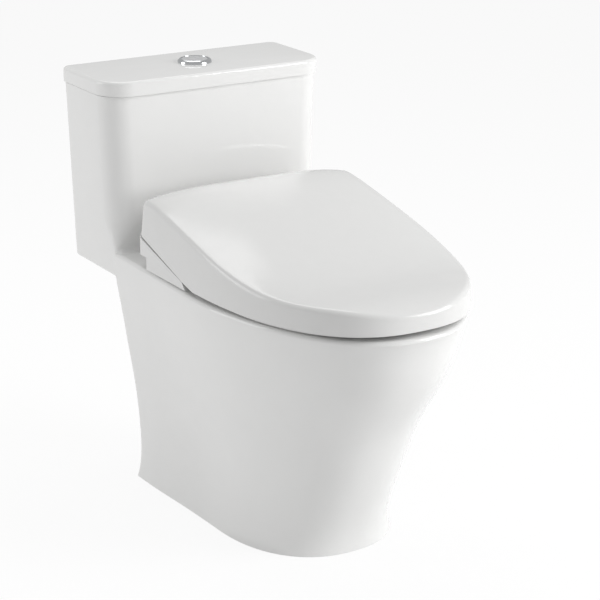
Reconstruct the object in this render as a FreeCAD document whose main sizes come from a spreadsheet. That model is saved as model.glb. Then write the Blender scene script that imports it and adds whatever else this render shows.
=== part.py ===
# One-piece skirted toilet with an electronic heated seat.
# Millimetres. X = 0 is the plane of symmetry, the bowl's nose points to -Y, the floor is Z = 0.
import FreeCAD, Part
import math
import os
import re
import Sketcher
from FreeCAD import Placement, Rotation, Vector

SIZES = [
    # ceramic body: tank
    ("tank_width_top", 380.6), ("tank_width_base", 360.4), ("tank_front", 202.0), ("tank_back", 356.0),
    ("tank_base", 345.0), ("tank_top", 628.0), ("tank_wall", 13.0), ("tank_floor_z", 392.0),
    ("tank_front_radius", 40.0), ("tank_back_radius", 12.0), ("tank_edge_radius", 8.0),
    ("tank_foot_radius", 9.0), ("tank_foot_height", 50.0),
    ("well_floor_wall", 15.0), ("well_width", 70.0), ("well_depth", 90.0),
    ("casting_seam", 0.05), ("casting_gap", 0.5),
    # ceramic body: bowl and pedestal
    ("rim_top", 386.0), ("rim_half_width", 186.5), ("deck_half_width", 181.7), ("rim_tip", 360.0),
    ("rim_widest", 47.0), ("rim_round", 6.0), ("foot_half_width", 135.0), ("foot_nose_half_width", 124.0),
    ("foot_tip", 188.5), ("foot_widest", 9.0), ("pedestal_back_foot", 232.0), ("pedestal_back_top", 215.0),
    ("pedestal_corner_radius", 4.5), ("ceramic_wall", 14.0),
    ("bowl_half_width", 139.0), ("bowl_back", 82.0), ("bowl_front", 298.0), ("sump_depth", 296.0),
    ("sump_half_width", 38.0), ("sump_half_length", 46.0), ("sump_setback", 26.0),
    ("trap_bore", 26.0), ("trap_wall", 10.0), ("trap_dip", 22.0),
    ("trap_rise", 118.0), ("trap_fall", 172.0), ("trap_back", 150.0), ("trap_turn_height", 108.0),
    ("trap_leg_height", 66.0), ("outlet_setback", 67.0), ("weir_height", 226.0),
    ("chamber_half_width", 48.0), ("chamber_height", 16.0), ("chamber_reach", 38.0), ("bowl_wall", 12.0),
    ("gasket_height", 8.0), ("gasket_width", 18.0),
    # tank lid and its push buttons
    ("lid_width", 385.0), ("lid_back", 360.0), ("lid_front", 195.0), ("lid_height", 22.5), ("lid_plate", 10.0),
    ("lid_skirt_wall", 12.0), ("lid_front_radius", 45.0), ("lid_back_radius", 15.0), ("lid_top_round", 5.0),
    ("cushion_height", 1.5), ("cushion_radius", 5.0), ("locator_drop", 10.0), ("locator_wall", 8.0),
    ("locator_gap", 2.0), ("valve_setback", 277.5), ("bezel_radius", 27.0), ("bezel_height", 6.0),
    ("bezel_flange", 2.5), ("bezel_tube_radius", 23.7), ("button_radius", 21.0), ("button_depth", 11.0),
    ("button_split", 5.0), ("button_gap", 0.3), ("bezel_drop", 26.0), ("button_nut_radius", 34.0),
    ("button_nut_height", 6.0), ("rod_radius", 3.0), ("rod_offset", 11.0),
    # flush valve
    ("flush_bore", 22.0), ("flush_neck_radius", 30.0), ("flush_hole_gap", 2.0), ("flush_flange_radius", 46.0),
    ("flush_flange", 6.0), ("flush_gasket", 2.0), ("cage_radius", 30.0), ("cage_wall", 2.5),
    ("cage_height", 120.0), ("cage_cap", 25.0), ("cage_window_width", 22.0), ("cage_window_height", 60.0),
    ("stem_radius", 13.0), ("stem_bore", 10.5), ("stem_height", 92.0), ("seal_thickness", 2.0),
    ("seal_radius", 26.0), ("plunger_radius", 5.0), ("plunger_length", 46.0), ("plunger_gap", 0.3),
    # fill valve
    ("fill_side_gap", 75.3), ("shank_radius", 10.48), ("shank_collar_radius", 11.2), ("shank_drop", 45.0),
    ("fill_hole_gap", 2.0), ("fill_flange_radius", 17.0), ("fill_flange", 6.0), ("fill_gasket", 2.0),
    ("column_radius", 11.0),
    ("column_height", 192.0), ("fill_head_radius", 20.0), ("fill_head_height", 30.0), ("fill_cap_height", 14.0),
    ("float_radius", 30.0), ("float_gap", 0.8), ("float_height", 60.0), ("float_rest", 72.0),
    ("fill_nut_radius", 19.0), ("fill_nut_height", 14.0), ("refill_radius", 4.0), ("refill_bend", 14.0),
    # fixing of the seat unit on the deck
    ("bolt_spacing", 155.0), ("bolt_setback", 109.0), ("plate_half_width", 95.0), ("plate_front", 86.0),
    ("plate_back", 130.0), ("plate_thickness", 4.0), ("bolt_radius", 4.0), ("bolt_head_radius", 8.0),
    ("bolt_head", 3.0), ("bolt_length", 46.0), ("bushing_radius", 7.5), ("bushing_flange", 3.0),
    ("bushing_flange_radius", 11.0), ("wing_nut_radius", 12.0), ("wing_nut_height", 10.0),
    # seat unit case
    ("unit_half_width", 184.0), ("unit_bottom", 389.3), ("unit_split", 408.0), ("unit_front", 30.0),
    ("unit_back", 134.0), ("unit_low_back", 98.0), ("arm_front", 22.0), ("arm_inside", 171.0),
    ("case_wall", 3.0), ("seam_low_y", 12.0), ("seam_low_z", 399.8), ("seam_slope", 0.269),
    ("hump_half_width", 112.0), ("hump_top", 461.0), ("hump_front_top", 448.0), ("hump_back_y", 74.0),
    ("rear_deck", 434.0), ("shoulder_top", 411.0), ("unit_corner_radius", 22.0), ("tray_floor", 400.0),
    ("slide_gap", 0.6), ("wand_slot", 16.0),
    # common hinge of seat and lid
    ("hinge_y", 114.0), ("hinge_z", 464.0), ("pin_radius", 5.0), ("pin_fit", 0.05), ("knuckle_radius", 8.0),
    ("arm_inner_x", 122.0), ("arm_width", 16.7), ("post_width", 10.0), ("hinge_gap", 1.3),
    ("lid_boss_radius", 9.0), ("lid_boss_width", 17.0),
    # seat
    ("seat_bottom_z", 390.0), ("seat_pan", 8.0), ("seat_height", 23.0), ("seat_half_width", 178.0),
    ("seat_tip", 347.0), ("seat_widest", 80.0), ("seat_back_half_width", 163.0), ("seat_corner_radius", 20.0),
    ("seat_back_gap", 2.0), ("seat_opening_half_width", 104.0), ("seat_opening_back", 2.0),
    ("seat_opening_front", 262.0), ("seat_round", 7.0), ("heater_margin", 12.0),
    ("heater_thickness", 1.5), ("buffer_radius", 9.0), ("seat_buffer_gap", 0.3),
    # lid of the seat
    ("cover_half_width", 186.0), ("cover_tip", 356.0), ("cover_widest", 47.0), ("cover_bottom", 394.5),
    ("cover_shell", 3.2), ("cover_draft", 10.9), ("cover_draft_height", 116.0), ("cover_corner_radius", 22.0),
    ("cover_seam_gap", 2.2), ("notch_length", 24.0), ("cover_rear_edge", 455.0),
    ("cover_round", 9.0), ("cover_buffer_gap", 0.3), ("cover_rear_start", 80.0), ("cover_rear_drop", 2.0),
    # spray wand
    ("wand_radius", 7.0), ("wand_gap", 0.3), ("wand_length", 105.0), ("wand_start_z", 375.5),
    ("wand_slope", 25.0), ("wand_tip_length", 16.0), ("wand_housing_radius", 10.5), ("wand_housing_length", 92.0),
    # pieces inside the seat unit
    ("tank_heater_width", 62.0), ("tank_heater_depth", 34.0), ("tank_heater_height", 44.0),
    ("fan_radius", 19.0), ("fan_width", 26.0), ("duct_width", 20.0), ("duct_height", 12.0),
    ("board_width", 70.0), ("board_depth", 30.0), ("board_thickness", 1.6), ("board_stand", 6.0),
    ("filter_width", 34.0), ("filter_depth", 30.0), ("filter_height", 22.0),
    ("motor_radius", 11.0), ("motor_length", 22.0), ("solenoid_radius", 10.0), ("solenoid_height", 24.0),
    ("inlet_radius", 10.0), ("inlet_length", 14.0), ("inlet_offset", 148.0), ("port_height", 421.0),
    ("inlet_reach", 24.0), ("inlet_stem_radius", 8.5), ("inlet_bore_radius", 4.0), ("inlet_neck", 1.5),
    ("gland_radius", 6.5), ("gland_length", 12.0), ("gland_offset", 118.0),
    ("release_half_length", 11.0), ("release_half_height", 4.0), ("release_depth", 9.0),
    ("release_y", 66.0), ("release_z", 399.0), ("release_proud", 1.5), ("release_gap", 0.4),
    ("plug_radius", 5.0), ("plug_y", 20.0),
]

DOC = FreeCAD.newDocument("SmartToilet")
SHEET = DOC.addObject("Spreadsheet::Sheet", "Sizes")
for row, (alias, value) in enumerate(SIZES, start=1):
    SHEET.set("A%d" % row, alias)
    SHEET.set("B%d" % row, str(value))
    SHEET.setAlias("B%d" % row, alias)
DOC.recompute()

WORD = re.compile(r"[a-z][a-z_0-9]*")
ALIASES = {alias for alias, _ in SIZES}


class Reader:
    """Gives the sheet's values by name, for shapes that are worked out in code."""

    def __getattr__(self, alias):
        return float(SHEET.get(alias))


D = Reader()
NODES = []


def formula(text):
    """The sheet formula of a text such as 'rim_top + case_wall'."""
    return WORD.sub(lambda found: "Sizes." + found.group(0) if found.group(0) in ALIASES else found.group(0), text)


def keep(obj, label):
    """Names a finished sub-part and lists it for export."""
    obj.Label = label
    NODES.append(obj)
    return obj


def move(obj, x="0", y="0", z="0", rotation=None):
    """Places an object at a point given as formulas."""
    if rotation is not None:
        obj.Placement = Placement(Vector(), rotation)
    for axis, text in zip("xyz", (x, y, z)):
        obj.setExpression("Placement.Base.%s" % axis, formula(text))
    return obj


# ---------------------------------------------------------------- sketch-based pieces

def new_sketch(body, role, name, lift=None):
    """A sketch on one of the body's own planes, lifted off it by a formula."""
    sketch = body.newObject("Sketcher::SketchObject", name)
    plane = next(item for item in body.Origin.OriginFeatures if item.Role == role)
    sketch.AttachmentSupport = [(plane, "")]
    sketch.MapMode = "FlatFace"
    if lift is not None:
        sketch.setExpression("AttachmentOffset.Base.z", formula(lift))
    return sketch


def add_polygon(sketch, points):
    """A closed outline whose corners are all held by formulas."""
    first = sketch.GeometryCount
    count = len(points)
    ring = [Vector(math.cos(2 * math.pi * i / count), math.sin(2 * math.pi * i / count), 0) * 10
            for i in range(count)]
    for i in range(count):
        sketch.addGeometry(Part.LineSegment(ring[i], ring[(i + 1) % count]), False)
    for i in range(count):
        sketch.addConstraint(Sketcher.Constraint("Coincident", first + i, 2, first + (i + 1) % count, 1))
    for i, corner in enumerate(points):
        for kind, text in zip(("DistanceX", "DistanceY"), corner):
            index = sketch.addConstraint(Sketcher.Constraint(kind, -1, 1, first + i, 1, 1.0))
            sketch.setExpression("Constraints[%d]" % index, formula(text))


def add_circle(sketch, u, v, radius):
    """A circle held by formulas."""
    index = sketch.addGeometry(Part.Circle(Vector(1, 1, 0), Vector(0, 0, 1), 1.0), False)
    for kind, text in (("DistanceX", u), ("DistanceY", v)):
        held = sketch.addConstraint(Sketcher.Constraint(kind, -1, 1, index, 3, 1.0))
        sketch.setExpression("Constraints[%d]" % held, formula(text))
    held = sketch.addConstraint(Sketcher.Constraint("Radius", index, 1.0))
    sketch.setExpression("Constraints[%d]" % held, formula(radius))


def pad(body, name, role, lift, length, outlines=(), circles=(), middle=False):
    """Adds an extruded outline to a body."""
    sketch = new_sketch(body, role, name + "_sketch", lift)
    for outline in outlines:
        add_polygon(sketch, outline)
    for circle in circles:
        add_circle(sketch, *circle)
    feature = body.newObject("PartDesign::Pad", name)
    feature.Profile = sketch
    feature.SideType = "Symmetric" if middle else "One side"
    feature.setExpression("Length", formula(length))
    return feature


def pocket(body, name, role, lift, length, outlines=(), circles=(), middle=False):
    """Cuts an extruded outline out of a body, along the sketch's normal."""
    sketch = new_sketch(body, role, name + "_sketch", lift)
    for outline in outlines:
        add_polygon(sketch, outline)
    for circle in circles:
        add_circle(sketch, *circle)
    feature = body.newObject("PartDesign::Pocket", name)
    feature.Profile = sketch
    feature.Reversed = True
    feature.SideType = "Symmetric" if middle else "One side"
    feature.setExpression("Length", formula(length))
    return feature


def rectangle(u0, u1, v0, v1):
    """Corner formulas of a rectangle."""
    return [(u0, v0), (u1, v0), (u1, v1), (u0, v1)]


def new_body(label):
    """An empty body that is kept under its label."""
    return keep(DOC.addObject("PartDesign::Body", label), label)


def turned(label, profile, x="0", y="0", z="0", rotation=None):
    """A body of revolution: the profile gives radius and height, both as formulas."""
    body = new_body(label)
    sketch = new_sketch(body, "XZ_Plane", label + "_profile")
    add_polygon(sketch, profile)
    spin = body.newObject("PartDesign::Revolution", label + "_spin")
    spin.Profile = sketch
    spin.ReferenceAxis = (sketch, ["V_Axis"])
    spin.Angle = 360.0
    return move(body, x, y, z, rotation)


def ring_profile(inner, outer, low, high):
    """Profile of a plain ring or, with an inner radius of 0, of a plain disc."""
    return [(inner, low), (outer, low), (outer, high), (inner, high)]


ALONG_X = Rotation(Vector(0, 1, 0), 90)
ALONG_BACK = Rotation(Vector(1, 0, 0), -90)


# ---------------------------------------------------------------- free-form helpers

def piece(label, shape):
    """A sub-part whose shape is worked out in code."""
    feature = DOC.addObject("Part::Feature", label)
    feature.Shape = shape
    return keep(feature, label)


def blend(low, high, share):
    """Soft step from low to high."""
    share = min(max(share, 0.0), 1.0)
    return low + (high - low) * share * share * (3 - 2 * share)


def block(x0, x1, y0, y1, z0, z1):
    """A plain box between two corners."""
    return Part.makeBox(x1 - x0, y1 - y0, z1 - z0, Vector(x0, y0, z0))


def side_prism(points, x0, x1):
    """An outline in the side view (y, z), extruded from x0 to x1."""
    corners = [Vector(x0, y, z) for y, z in points]
    wire = Part.makePolygon(corners + corners[:1])
    return Part.Face(wire).extrude(Vector(x1 - x0, 0, 0))


def both_sides(shape):
    """The shape together with its mirror image in X = 0."""
    return [shape, shape.mirror(Vector(0, 0, 0), Vector(1, 0, 0))]


def corner_arc(centre, radius, sign_x, sign_y, z, from_x):
    """A quarter circle in the plan, listed as start, middle and end points."""
    share = radius * math.sqrt(0.5)
    on_x = Vector(centre[0] + sign_x * radius, centre[1], z)
    on_y = Vector(centre[0], centre[1] + sign_y * radius, z)
    middle = Vector(centre[0] + sign_x * share, centre[1] + sign_y * share, z)
    return (on_x, middle, on_y) if from_x else (on_y, middle, on_x)


def round_rectangle(z, half_width, back, front, back_radius, front_radius):
    """Closed plan outline of a tank-like box with round corners."""
    arcs = [
        corner_arc((half_width - back_radius, back - back_radius), back_radius, 1, 1, z, False),
        corner_arc((half_width - front_radius, front + front_radius), front_radius, 1, -1, z, True),
        corner_arc((-half_width + front_radius, front + front_radius), front_radius, -1, -1, z, False),
        corner_arc((-half_width + back_radius, back - back_radius), back_radius, -1, 1, z, True),
    ]
    edges = []
    for here, after in zip(arcs, arcs[1:] + arcs[:1]):
        edges.append(Part.Arc(*here).toShape())
        edges.append(Part.makeLine(here[2], after[0]))
    return Part.Wire(edges)


def nose_points(half_width, widest, tip, bulge, square, z, count=10):
    """Points of a rounded nose, from its widest place on +X to the tip on X = 0."""
    points = []
    for i in range(count + 1):
        angle = math.radians(90.0 * i / count)
        x = half_width * max(math.cos(angle), 0.0) ** (2 / square) if i < count else 0.0
        y = -widest - (tip - widest) * math.sin(angle) ** (2 / bulge)
        points.append(Vector(x, y, z))
    return points


def nose_curve(lead, nose):
    """A smooth curve down one side, round the nose and up the other side."""
    right = lead + nose
    left = [Vector(-p.x, p.y, p.z) for p in reversed(right[:-1])]
    curve = Part.BSplineCurve()
    curve.interpolate(Points=right + left, InitialTangent=Vector(0, -1, 0), FinalTangent=Vector(0, 1, 0))
    return curve.toShape()


def loft(wires, ruled=False):
    """A solid through closed outlines."""
    return Part.makeLoft(wires, True, ruled, False)


def low_edges(shape, z):
    """Edges that lie in the plane at height z."""
    return [e for e in shape.Edges if abs(e.BoundBox.ZMin - z) < 0.01 and abs(e.BoundBox.ZMax - z) < 0.01]


# ---------------------------------------------------------------- ceramic body

# height share of the rim, then how far nose and width have grown from the foot to the rim
STATIONS = [
    (0.0, 0.0, 0.13), (0.10, 0.02, 0.0), (0.24, 0.15, 0.05), (0.40, 0.31, 0.20), (0.55, 0.47, 0.41),
    (0.68, 0.67, 0.60), (0.80, 0.83, 0.78), (0.90, 0.91, 0.93), (1.0, 1.0, 1.0),
]
NOSE_BULGE_FOOT = 2.33
NOSE_BULGE_RIM = 1.9
NOSE_SQUARE = 2.3
FOOT_STEPS = 8
OVAL_POINTS = 24
OVAL_POWER = 0.92


def skirt_outline(height, nose, width, inset=0.0, z=None):
    """Plan outline of the bowl and its skirt at one height."""
    level = height * (D.rim_top - D.rim_round) if z is None else z
    share = min(1.0, level / D.tank_base)
    back = D.pedestal_back_foot + (D.pedestal_back_top - D.pedestal_back_foot) * share - inset
    radius = D.pedestal_corner_radius
    shoulder = back - 2.5 * radius
    half_back = D.foot_half_width + (D.deck_half_width - D.foot_half_width) * width - inset
    half_nose = D.foot_nose_half_width + (D.rim_half_width - D.foot_nose_half_width) * width - inset
    tip = D.foot_tip + (D.rim_tip - D.foot_tip) * nose - inset
    widest = D.foot_widest + (D.rim_widest - D.foot_widest) * height
    lead = [Vector(half_back, shoulder, level)]
    for share_y in (0.35, 0.7):
        y = shoulder + (-widest - shoulder) * share_y
        lead.append(Vector(blend(half_back, half_nose, share_y), y, level))
    bulge = NOSE_BULGE_FOOT + (NOSE_BULGE_RIM - NOSE_BULGE_FOOT) * height
    curve = nose_curve(lead, nose_points(half_nose, widest, tip, bulge, NOSE_SQUARE, level))
    left = corner_arc((-half_back + radius, back - radius), radius, -1, 1, level, True)
    right = corner_arc((half_back - radius, back - radius), radius, 1, 1, level, False)
    return Part.Wire([
        curve,
        Part.makeLine(Vector(-half_back, shoulder, level), left[0]),
        Part.Arc(*left).toShape(),
        Part.makeLine(left[2], right[0]),
        Part.Arc(*right).toShape(),
        Part.makeLine(right[2], Vector(half_back, shoulder, level)),
    ])


def tank_half(z):
    """Half the tank's width at one height."""
    share = (z - D.tank_base) / (D.tank_top - D.tank_base)
    return (D.tank_width_base + (D.tank_width_top - D.tank_width_base) * share) / 2


def skirt_solid():
    """Outer form of bowl and pedestal, with the rim's rounded top edge."""
    skirt = loft([skirt_outline(*station) for station in STATIONS])
    rings = []
    for share in (0.0, 0.35, 0.65, 0.88, 0.98, 1.0):
        inset = D.rim_round * (1 - math.cos(math.asin(share)))
        rings.append(skirt_outline(1.0, 1.0, 1.0, inset, D.rim_top - D.rim_round * (1 - share)))
    return skirt, loft(rings, True)


def bowl_oval(z, back, front, half_width):
    """Closed plan curve of the bowl's inside at one height; back and front are Y values."""
    centre = (back + front) / 2
    half_length = (back - front) / 2
    points = []
    for i in range(OVAL_POINTS):
        angle = 2 * math.pi * i / OVAL_POINTS
        c = math.cos(angle)
        s = math.sin(angle)
        points.append(Vector(half_width * math.copysign(abs(c) ** OVAL_POWER, c),
                             centre + half_length * math.copysign(abs(s) ** OVAL_POWER, s), z))
    curve = Part.BSplineCurve()
    curve.interpolate(Points=points, PeriodicFlag=True)
    return Part.Wire([curve.toShape()])


# height share from sump floor to rim, growth share of the oval from sump to opening
BOWL_STATIONS = [(0.0, 0.0), (0.10, 0.10), (0.26, 0.38), (0.47, 0.69), (0.68, 0.88), (0.86, 0.98), (1.01, 1.0)]


def bowl_solid(grow):
    """The bowl's hollow, made larger all round by grow."""
    floor = D.rim_top - D.sump_depth - grow
    wires = []
    for height, share in BOWL_STATIONS:
        z = floor + (D.rim_top - floor) * height
        sump_back = -D.sump_setback + D.sump_half_length
        sump_front = -D.sump_setback - D.sump_half_length
        back = sump_back + (D.bowl_back - sump_back) * share + grow
        front = sump_front + (-D.bowl_front - sump_front) * share - grow
        half = D.sump_half_width + (D.bowl_half_width - D.sump_half_width) * share + grow
        wires.append(bowl_oval(z, back, front, half))
    return loft(wires)


def rounded_path(points, radii):
    """Straight runs joined by arcs that touch them."""
    edges = []
    start = points[0]
    for corner, after, radius in zip(points[1:-1], points[2:], radii):
        coming = (corner - start).normalize()
        leaving = (after - corner).normalize()
        turn = coming.getAngle(leaving)
        reach = radius * math.tan(turn / 2)
        first = corner - coming * reach
        last = corner + leaving * reach
        inward = (leaving - coming).normalize()
        middle = corner + inward * (radius / math.cos(turn / 2) - radius)
        edges.append(Part.makeLine(start, first))
        edges.append(Part.Arc(first, middle, last).toShape())
        start = last
    edges.append(Part.makeLine(start, points[-1]))
    return Part.Wire(edges)


def tube_solid(path, radius, start, direction):
    """A round rod of one radius along a path."""
    circle = Part.Wire([Part.makeCircle(radius, start, direction)])
    return path.makePipeShell([circle], True, True)


def trap_tube(radius):
    """Water passage from the sump over the weir and down to the floor outlet."""
    sump_z = D.rim_top - D.sump_depth + 30
    out = D.outlet_setback
    points = [
        Vector(0, -D.sump_setback - 10, sump_z + 2), Vector(0, D.trap_dip, sump_z - 12),
        Vector(0, D.trap_rise, D.weir_height), Vector(0, D.trap_fall, D.weir_height - 30),
        Vector(0, D.trap_back, D.trap_turn_height), Vector(0, out, D.trap_leg_height), Vector(0, out, -1),
    ]
    path = rounded_path(points, (40, 38, 30, 40, 36))
    return tube_solid(path, radius, points[0], points[1] - points[0])


def fill_offset():
    """How far the fill valve stands from the plane of symmetry, in step with the tank's width."""
    return D.tank_width_top / 2 - D.fill_side_gap


def tank_form(grow):
    """Outer form of the tank, larger all round by grow. Its front corners are tight at the foot, where the
    pedestal's sides run into them, and open out above the deck."""
    foot = D.tank_base - grow
    rows = [(foot, D.tank_foot_radius), (D.rim_top, D.tank_foot_radius)]
    for i in range(1, FOOT_STEPS + 1):
        share = i / FOOT_STEPS
        opened = share * share * (3 - 2 * share)
        rows.append((D.rim_top + D.tank_foot_height * share,
                     D.tank_foot_radius + (D.tank_front_radius - D.tank_foot_radius) * opened))
    rows.append((D.tank_top, D.tank_front_radius))
    rings = [round_rectangle(z, tank_half(z) + grow, D.tank_back + grow, D.tank_front - grow,
                             D.tank_back_radius + grow, radius + grow) for z, radius in rows]
    form = loft(rings, True)
    return form.makeFillet(D.tank_edge_radius + grow, low_edges(form, foot))


def hollow_form(inset):
    """The space inside the skirt, open to the floor, up to the underside of the deck."""
    rings = [skirt_outline(*station, inset=inset, z=None if station[0] else -1.0) for station in STATIONS[:-1]]
    rings.append(skirt_outline(1.0, 1.0, 1.0, inset=inset, z=D.rim_top - D.ceramic_wall))
    return loft(rings)


def castings():
    """The castings that are joined before firing: tank, skirt with rim and deck, and bowl with trap."""
    wall = D.ceramic_wall
    roof = D.rim_top - wall
    room = 500.0
    around_tank = tank_form(D.casting_seam)
    chamber = block(-D.chamber_half_width, D.chamber_half_width, D.bowl_back - wall,
                    D.valve_setback + D.chamber_reach, roof - D.chamber_height, roof)
    side = D.chamber_half_width + D.trap_wall
    chamber_walls = block(-side, side, D.bowl_back - wall, D.pedestal_back_foot,
                          roof - D.chamber_height - D.trap_wall, roof)
    basin = bowl_solid(0.0)
    passage = trap_tube(D.trap_bore)
    ring_seat = Part.makeCylinder(D.trap_bore + D.gasket_width, D.gasket_height + 1,
                                  Vector(0, D.outlet_setback, -1))
    bolt_holes = both_sides(Part.makeCylinder(D.bushing_radius, wall + 2,
                                              Vector(D.bolt_spacing / 2, D.bolt_setback, roof - 1)))

    skirt, rim = skirt_solid()
    outer = skirt.fuse(rim).cut(around_tank).cut(hollow_form(wall))
    for tool in [basin, chamber] + bolt_holes:
        outer = outer.cut(tool)

    inner = bowl_solid(D.bowl_wall).fuse([trap_tube(D.trap_bore + D.trap_wall), chamber_walls])
    inner = inner.common(hollow_form(wall + D.casting_gap)).common(block(-room, room, -room, room, 0, roof))
    for tool in (around_tank, basin, passage, chamber, ring_seat):
        inner = inner.cut(tool)

    cavity = loft([round_rectangle(z, tank_half(z) - D.tank_wall, D.tank_back - D.tank_wall,
                                   D.tank_front + D.tank_wall, D.tank_wall / 2, D.tank_front_radius - D.tank_wall)
                   for z in (D.tank_floor_z, D.tank_top + 1)], True)
    cavity = cavity.makeFillet(D.tank_wall / 2, low_edges(cavity, D.tank_floor_z))
    well = block(fill_offset() - D.well_width / 2, fill_offset() + D.well_width / 2,
                 D.valve_setback - D.well_depth / 2, D.valve_setback + D.well_depth / 2,
                 D.tank_base + D.well_floor_wall, D.tank_floor_z + D.tank_wall)
    valve_hole = Part.makeCylinder(D.flush_neck_radius + D.flush_hole_gap, D.tank_floor_z - roof + 2,
                                   Vector(0, D.valve_setback, roof - 1))
    shank_hole = Part.makeCylinder(D.shank_collar_radius + D.fill_hole_gap, D.well_floor_wall + 2,
                                   Vector(-fill_offset(), D.valve_setback, D.tank_base - 1))
    tank = tank_form(0.0)
    for tool in [cavity, chamber, valve_hole, shank_hole] + both_sides(well):
        tank = tank.cut(tool)
    return tank.removeSplitter(), outer.removeSplitter(), inner.removeSplitter()


def make_ceramic():
    """The ceramic castings and the rubber ring round the floor outlet."""
    tank, outer, inner = castings()
    piece("tank_shell", tank)
    piece("skirt_and_deck", outer)
    piece("bowl_and_trap", inner)
    turned("outlet_gasket", ring_profile("trap_bore + 1", "trap_bore + gasket_width - 0.5", "0", "gasket_height"),
           y="outlet_setback")


# ---------------------------------------------------------------- tank lid and push buttons

def tank_lid():
    """Ceramic tank lid: a plate with a skirt, a locating rib and the button's hole."""
    low = D.tank_top + D.cushion_height
    top = low + D.lid_height
    under = top - D.lid_plate

    def lid_outline(z, inset):
        return round_rectangle(z, D.lid_width / 2 - inset, D.lid_back - inset, D.lid_front + inset,
                               D.lid_back_radius - min(inset, D.lid_back_radius / 2), D.lid_front_radius - inset)

    lid = Part.Face(lid_outline(low, 0.0)).extrude(Vector(0, 0, D.lid_height))
    lid = lid.makeFillet(D.lid_top_round, low_edges(lid, top))
    lid = lid.cut(Part.Face(lid_outline(low, D.lid_skirt_wall)).extrude(Vector(0, 0, under - low)))

    half = D.tank_width_top / 2 - D.tank_wall - D.locator_gap

    def rib_outline(inset):
        return round_rectangle(low - D.locator_drop, half - inset, D.tank_back - D.tank_wall - D.locator_gap - inset,
                               D.tank_front + D.tank_wall + D.locator_gap + inset,
                               D.tank_wall / 2, D.tank_front_radius - D.tank_wall - inset)

    tall = Vector(0, 0, under - low + D.locator_drop + 1)
    rib = Part.Face(rib_outline(0.0)).extrude(tall).cut(Part.Face(rib_outline(D.locator_wall)).extrude(tall))
    hole = Part.makeCylinder(D.bezel_tube_radius + D.button_gap, D.lid_plate + 2,
                             Vector(0, D.valve_setback, under - 1))
    return lid.fuse(rib).cut(hole).removeSplitter()


def half_disc(radius, split, sign, low, high):
    """One side of a split round button, rounded over its upper edge; sign tells which side of the split."""
    disc = Part.makeCylinder(radius, high - low, Vector(0, 0, low))
    disc = disc.makeFillet(1.2, low_edges(disc, high))
    x0, x1 = (split, radius + 1) if sign > 0 else (-radius - 1, split)
    return disc.common(block(x0, x1, -radius - 1, radius + 1, low - 1, high + 1))


def make_tank_lid():
    """Tank lid, its rubber cushions and the dual push buttons with their rods."""
    piece("tank_lid", tank_lid())
    pads = []
    inset_x = D.tank_width_top / 2 - D.tank_wall / 2
    for sign in (-1, 1):
        for y in (D.tank_front + D.tank_front_radius + 4, D.tank_back - D.tank_front_radius):
            pads.append(Part.makeCylinder(D.cushion_radius, D.cushion_height, Vector(sign * inset_x, y, D.tank_top)))
    piece("lid_cushions", Part.makeCompound(pads))

    top = "tank_top + cushion_height + lid_height"
    under = top + " - lid_plate"
    turned("button_bezel", [
        ("button_radius + button_gap", "-bezel_drop"), ("bezel_tube_radius", "-bezel_drop"),
        ("bezel_tube_radius", "0"), ("bezel_radius", "0"), ("bezel_radius", "bezel_flange"),
        ("bezel_radius - 2.2", "bezel_height"), ("button_radius + 1.2", "bezel_height"),
        ("button_radius + button_gap", "bezel_height - 1.2"),
    ], y="valve_setback", z=top)
    turned("button_nut", ring_profile("bezel_tube_radius", "button_nut_radius", "-button_nut_height", "0"),
           y="valve_setback", z=under)

    centre = Vector(0, D.valve_setback, D.tank_top + D.cushion_height + D.lid_height)
    high = D.bezel_height - 0.4
    low = high - D.button_depth
    rod_top = centre.z + low
    rod_bottom = D.tank_floor_z + D.flush_gasket + D.flush_flange + D.cage_height + D.cage_cap
    rod_bottom += D.plunger_length - D.cage_cap + D.plunger_gap
    for name, sign in (("full_flush", -1), ("half_flush", 1)):
        button = half_disc(D.button_radius, D.button_split + sign * D.button_gap / 2, sign, low, high)
        button.translate(centre)
        piece(name + "_button", button)
        rod = Part.makeCylinder(D.rod_radius, rod_top - rod_bottom,
                                Vector(sign * D.rod_offset, D.valve_setback, rod_bottom))
        piece(name + "_rod", rod)


# ---------------------------------------------------------------- flush valve and fill valve

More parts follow.
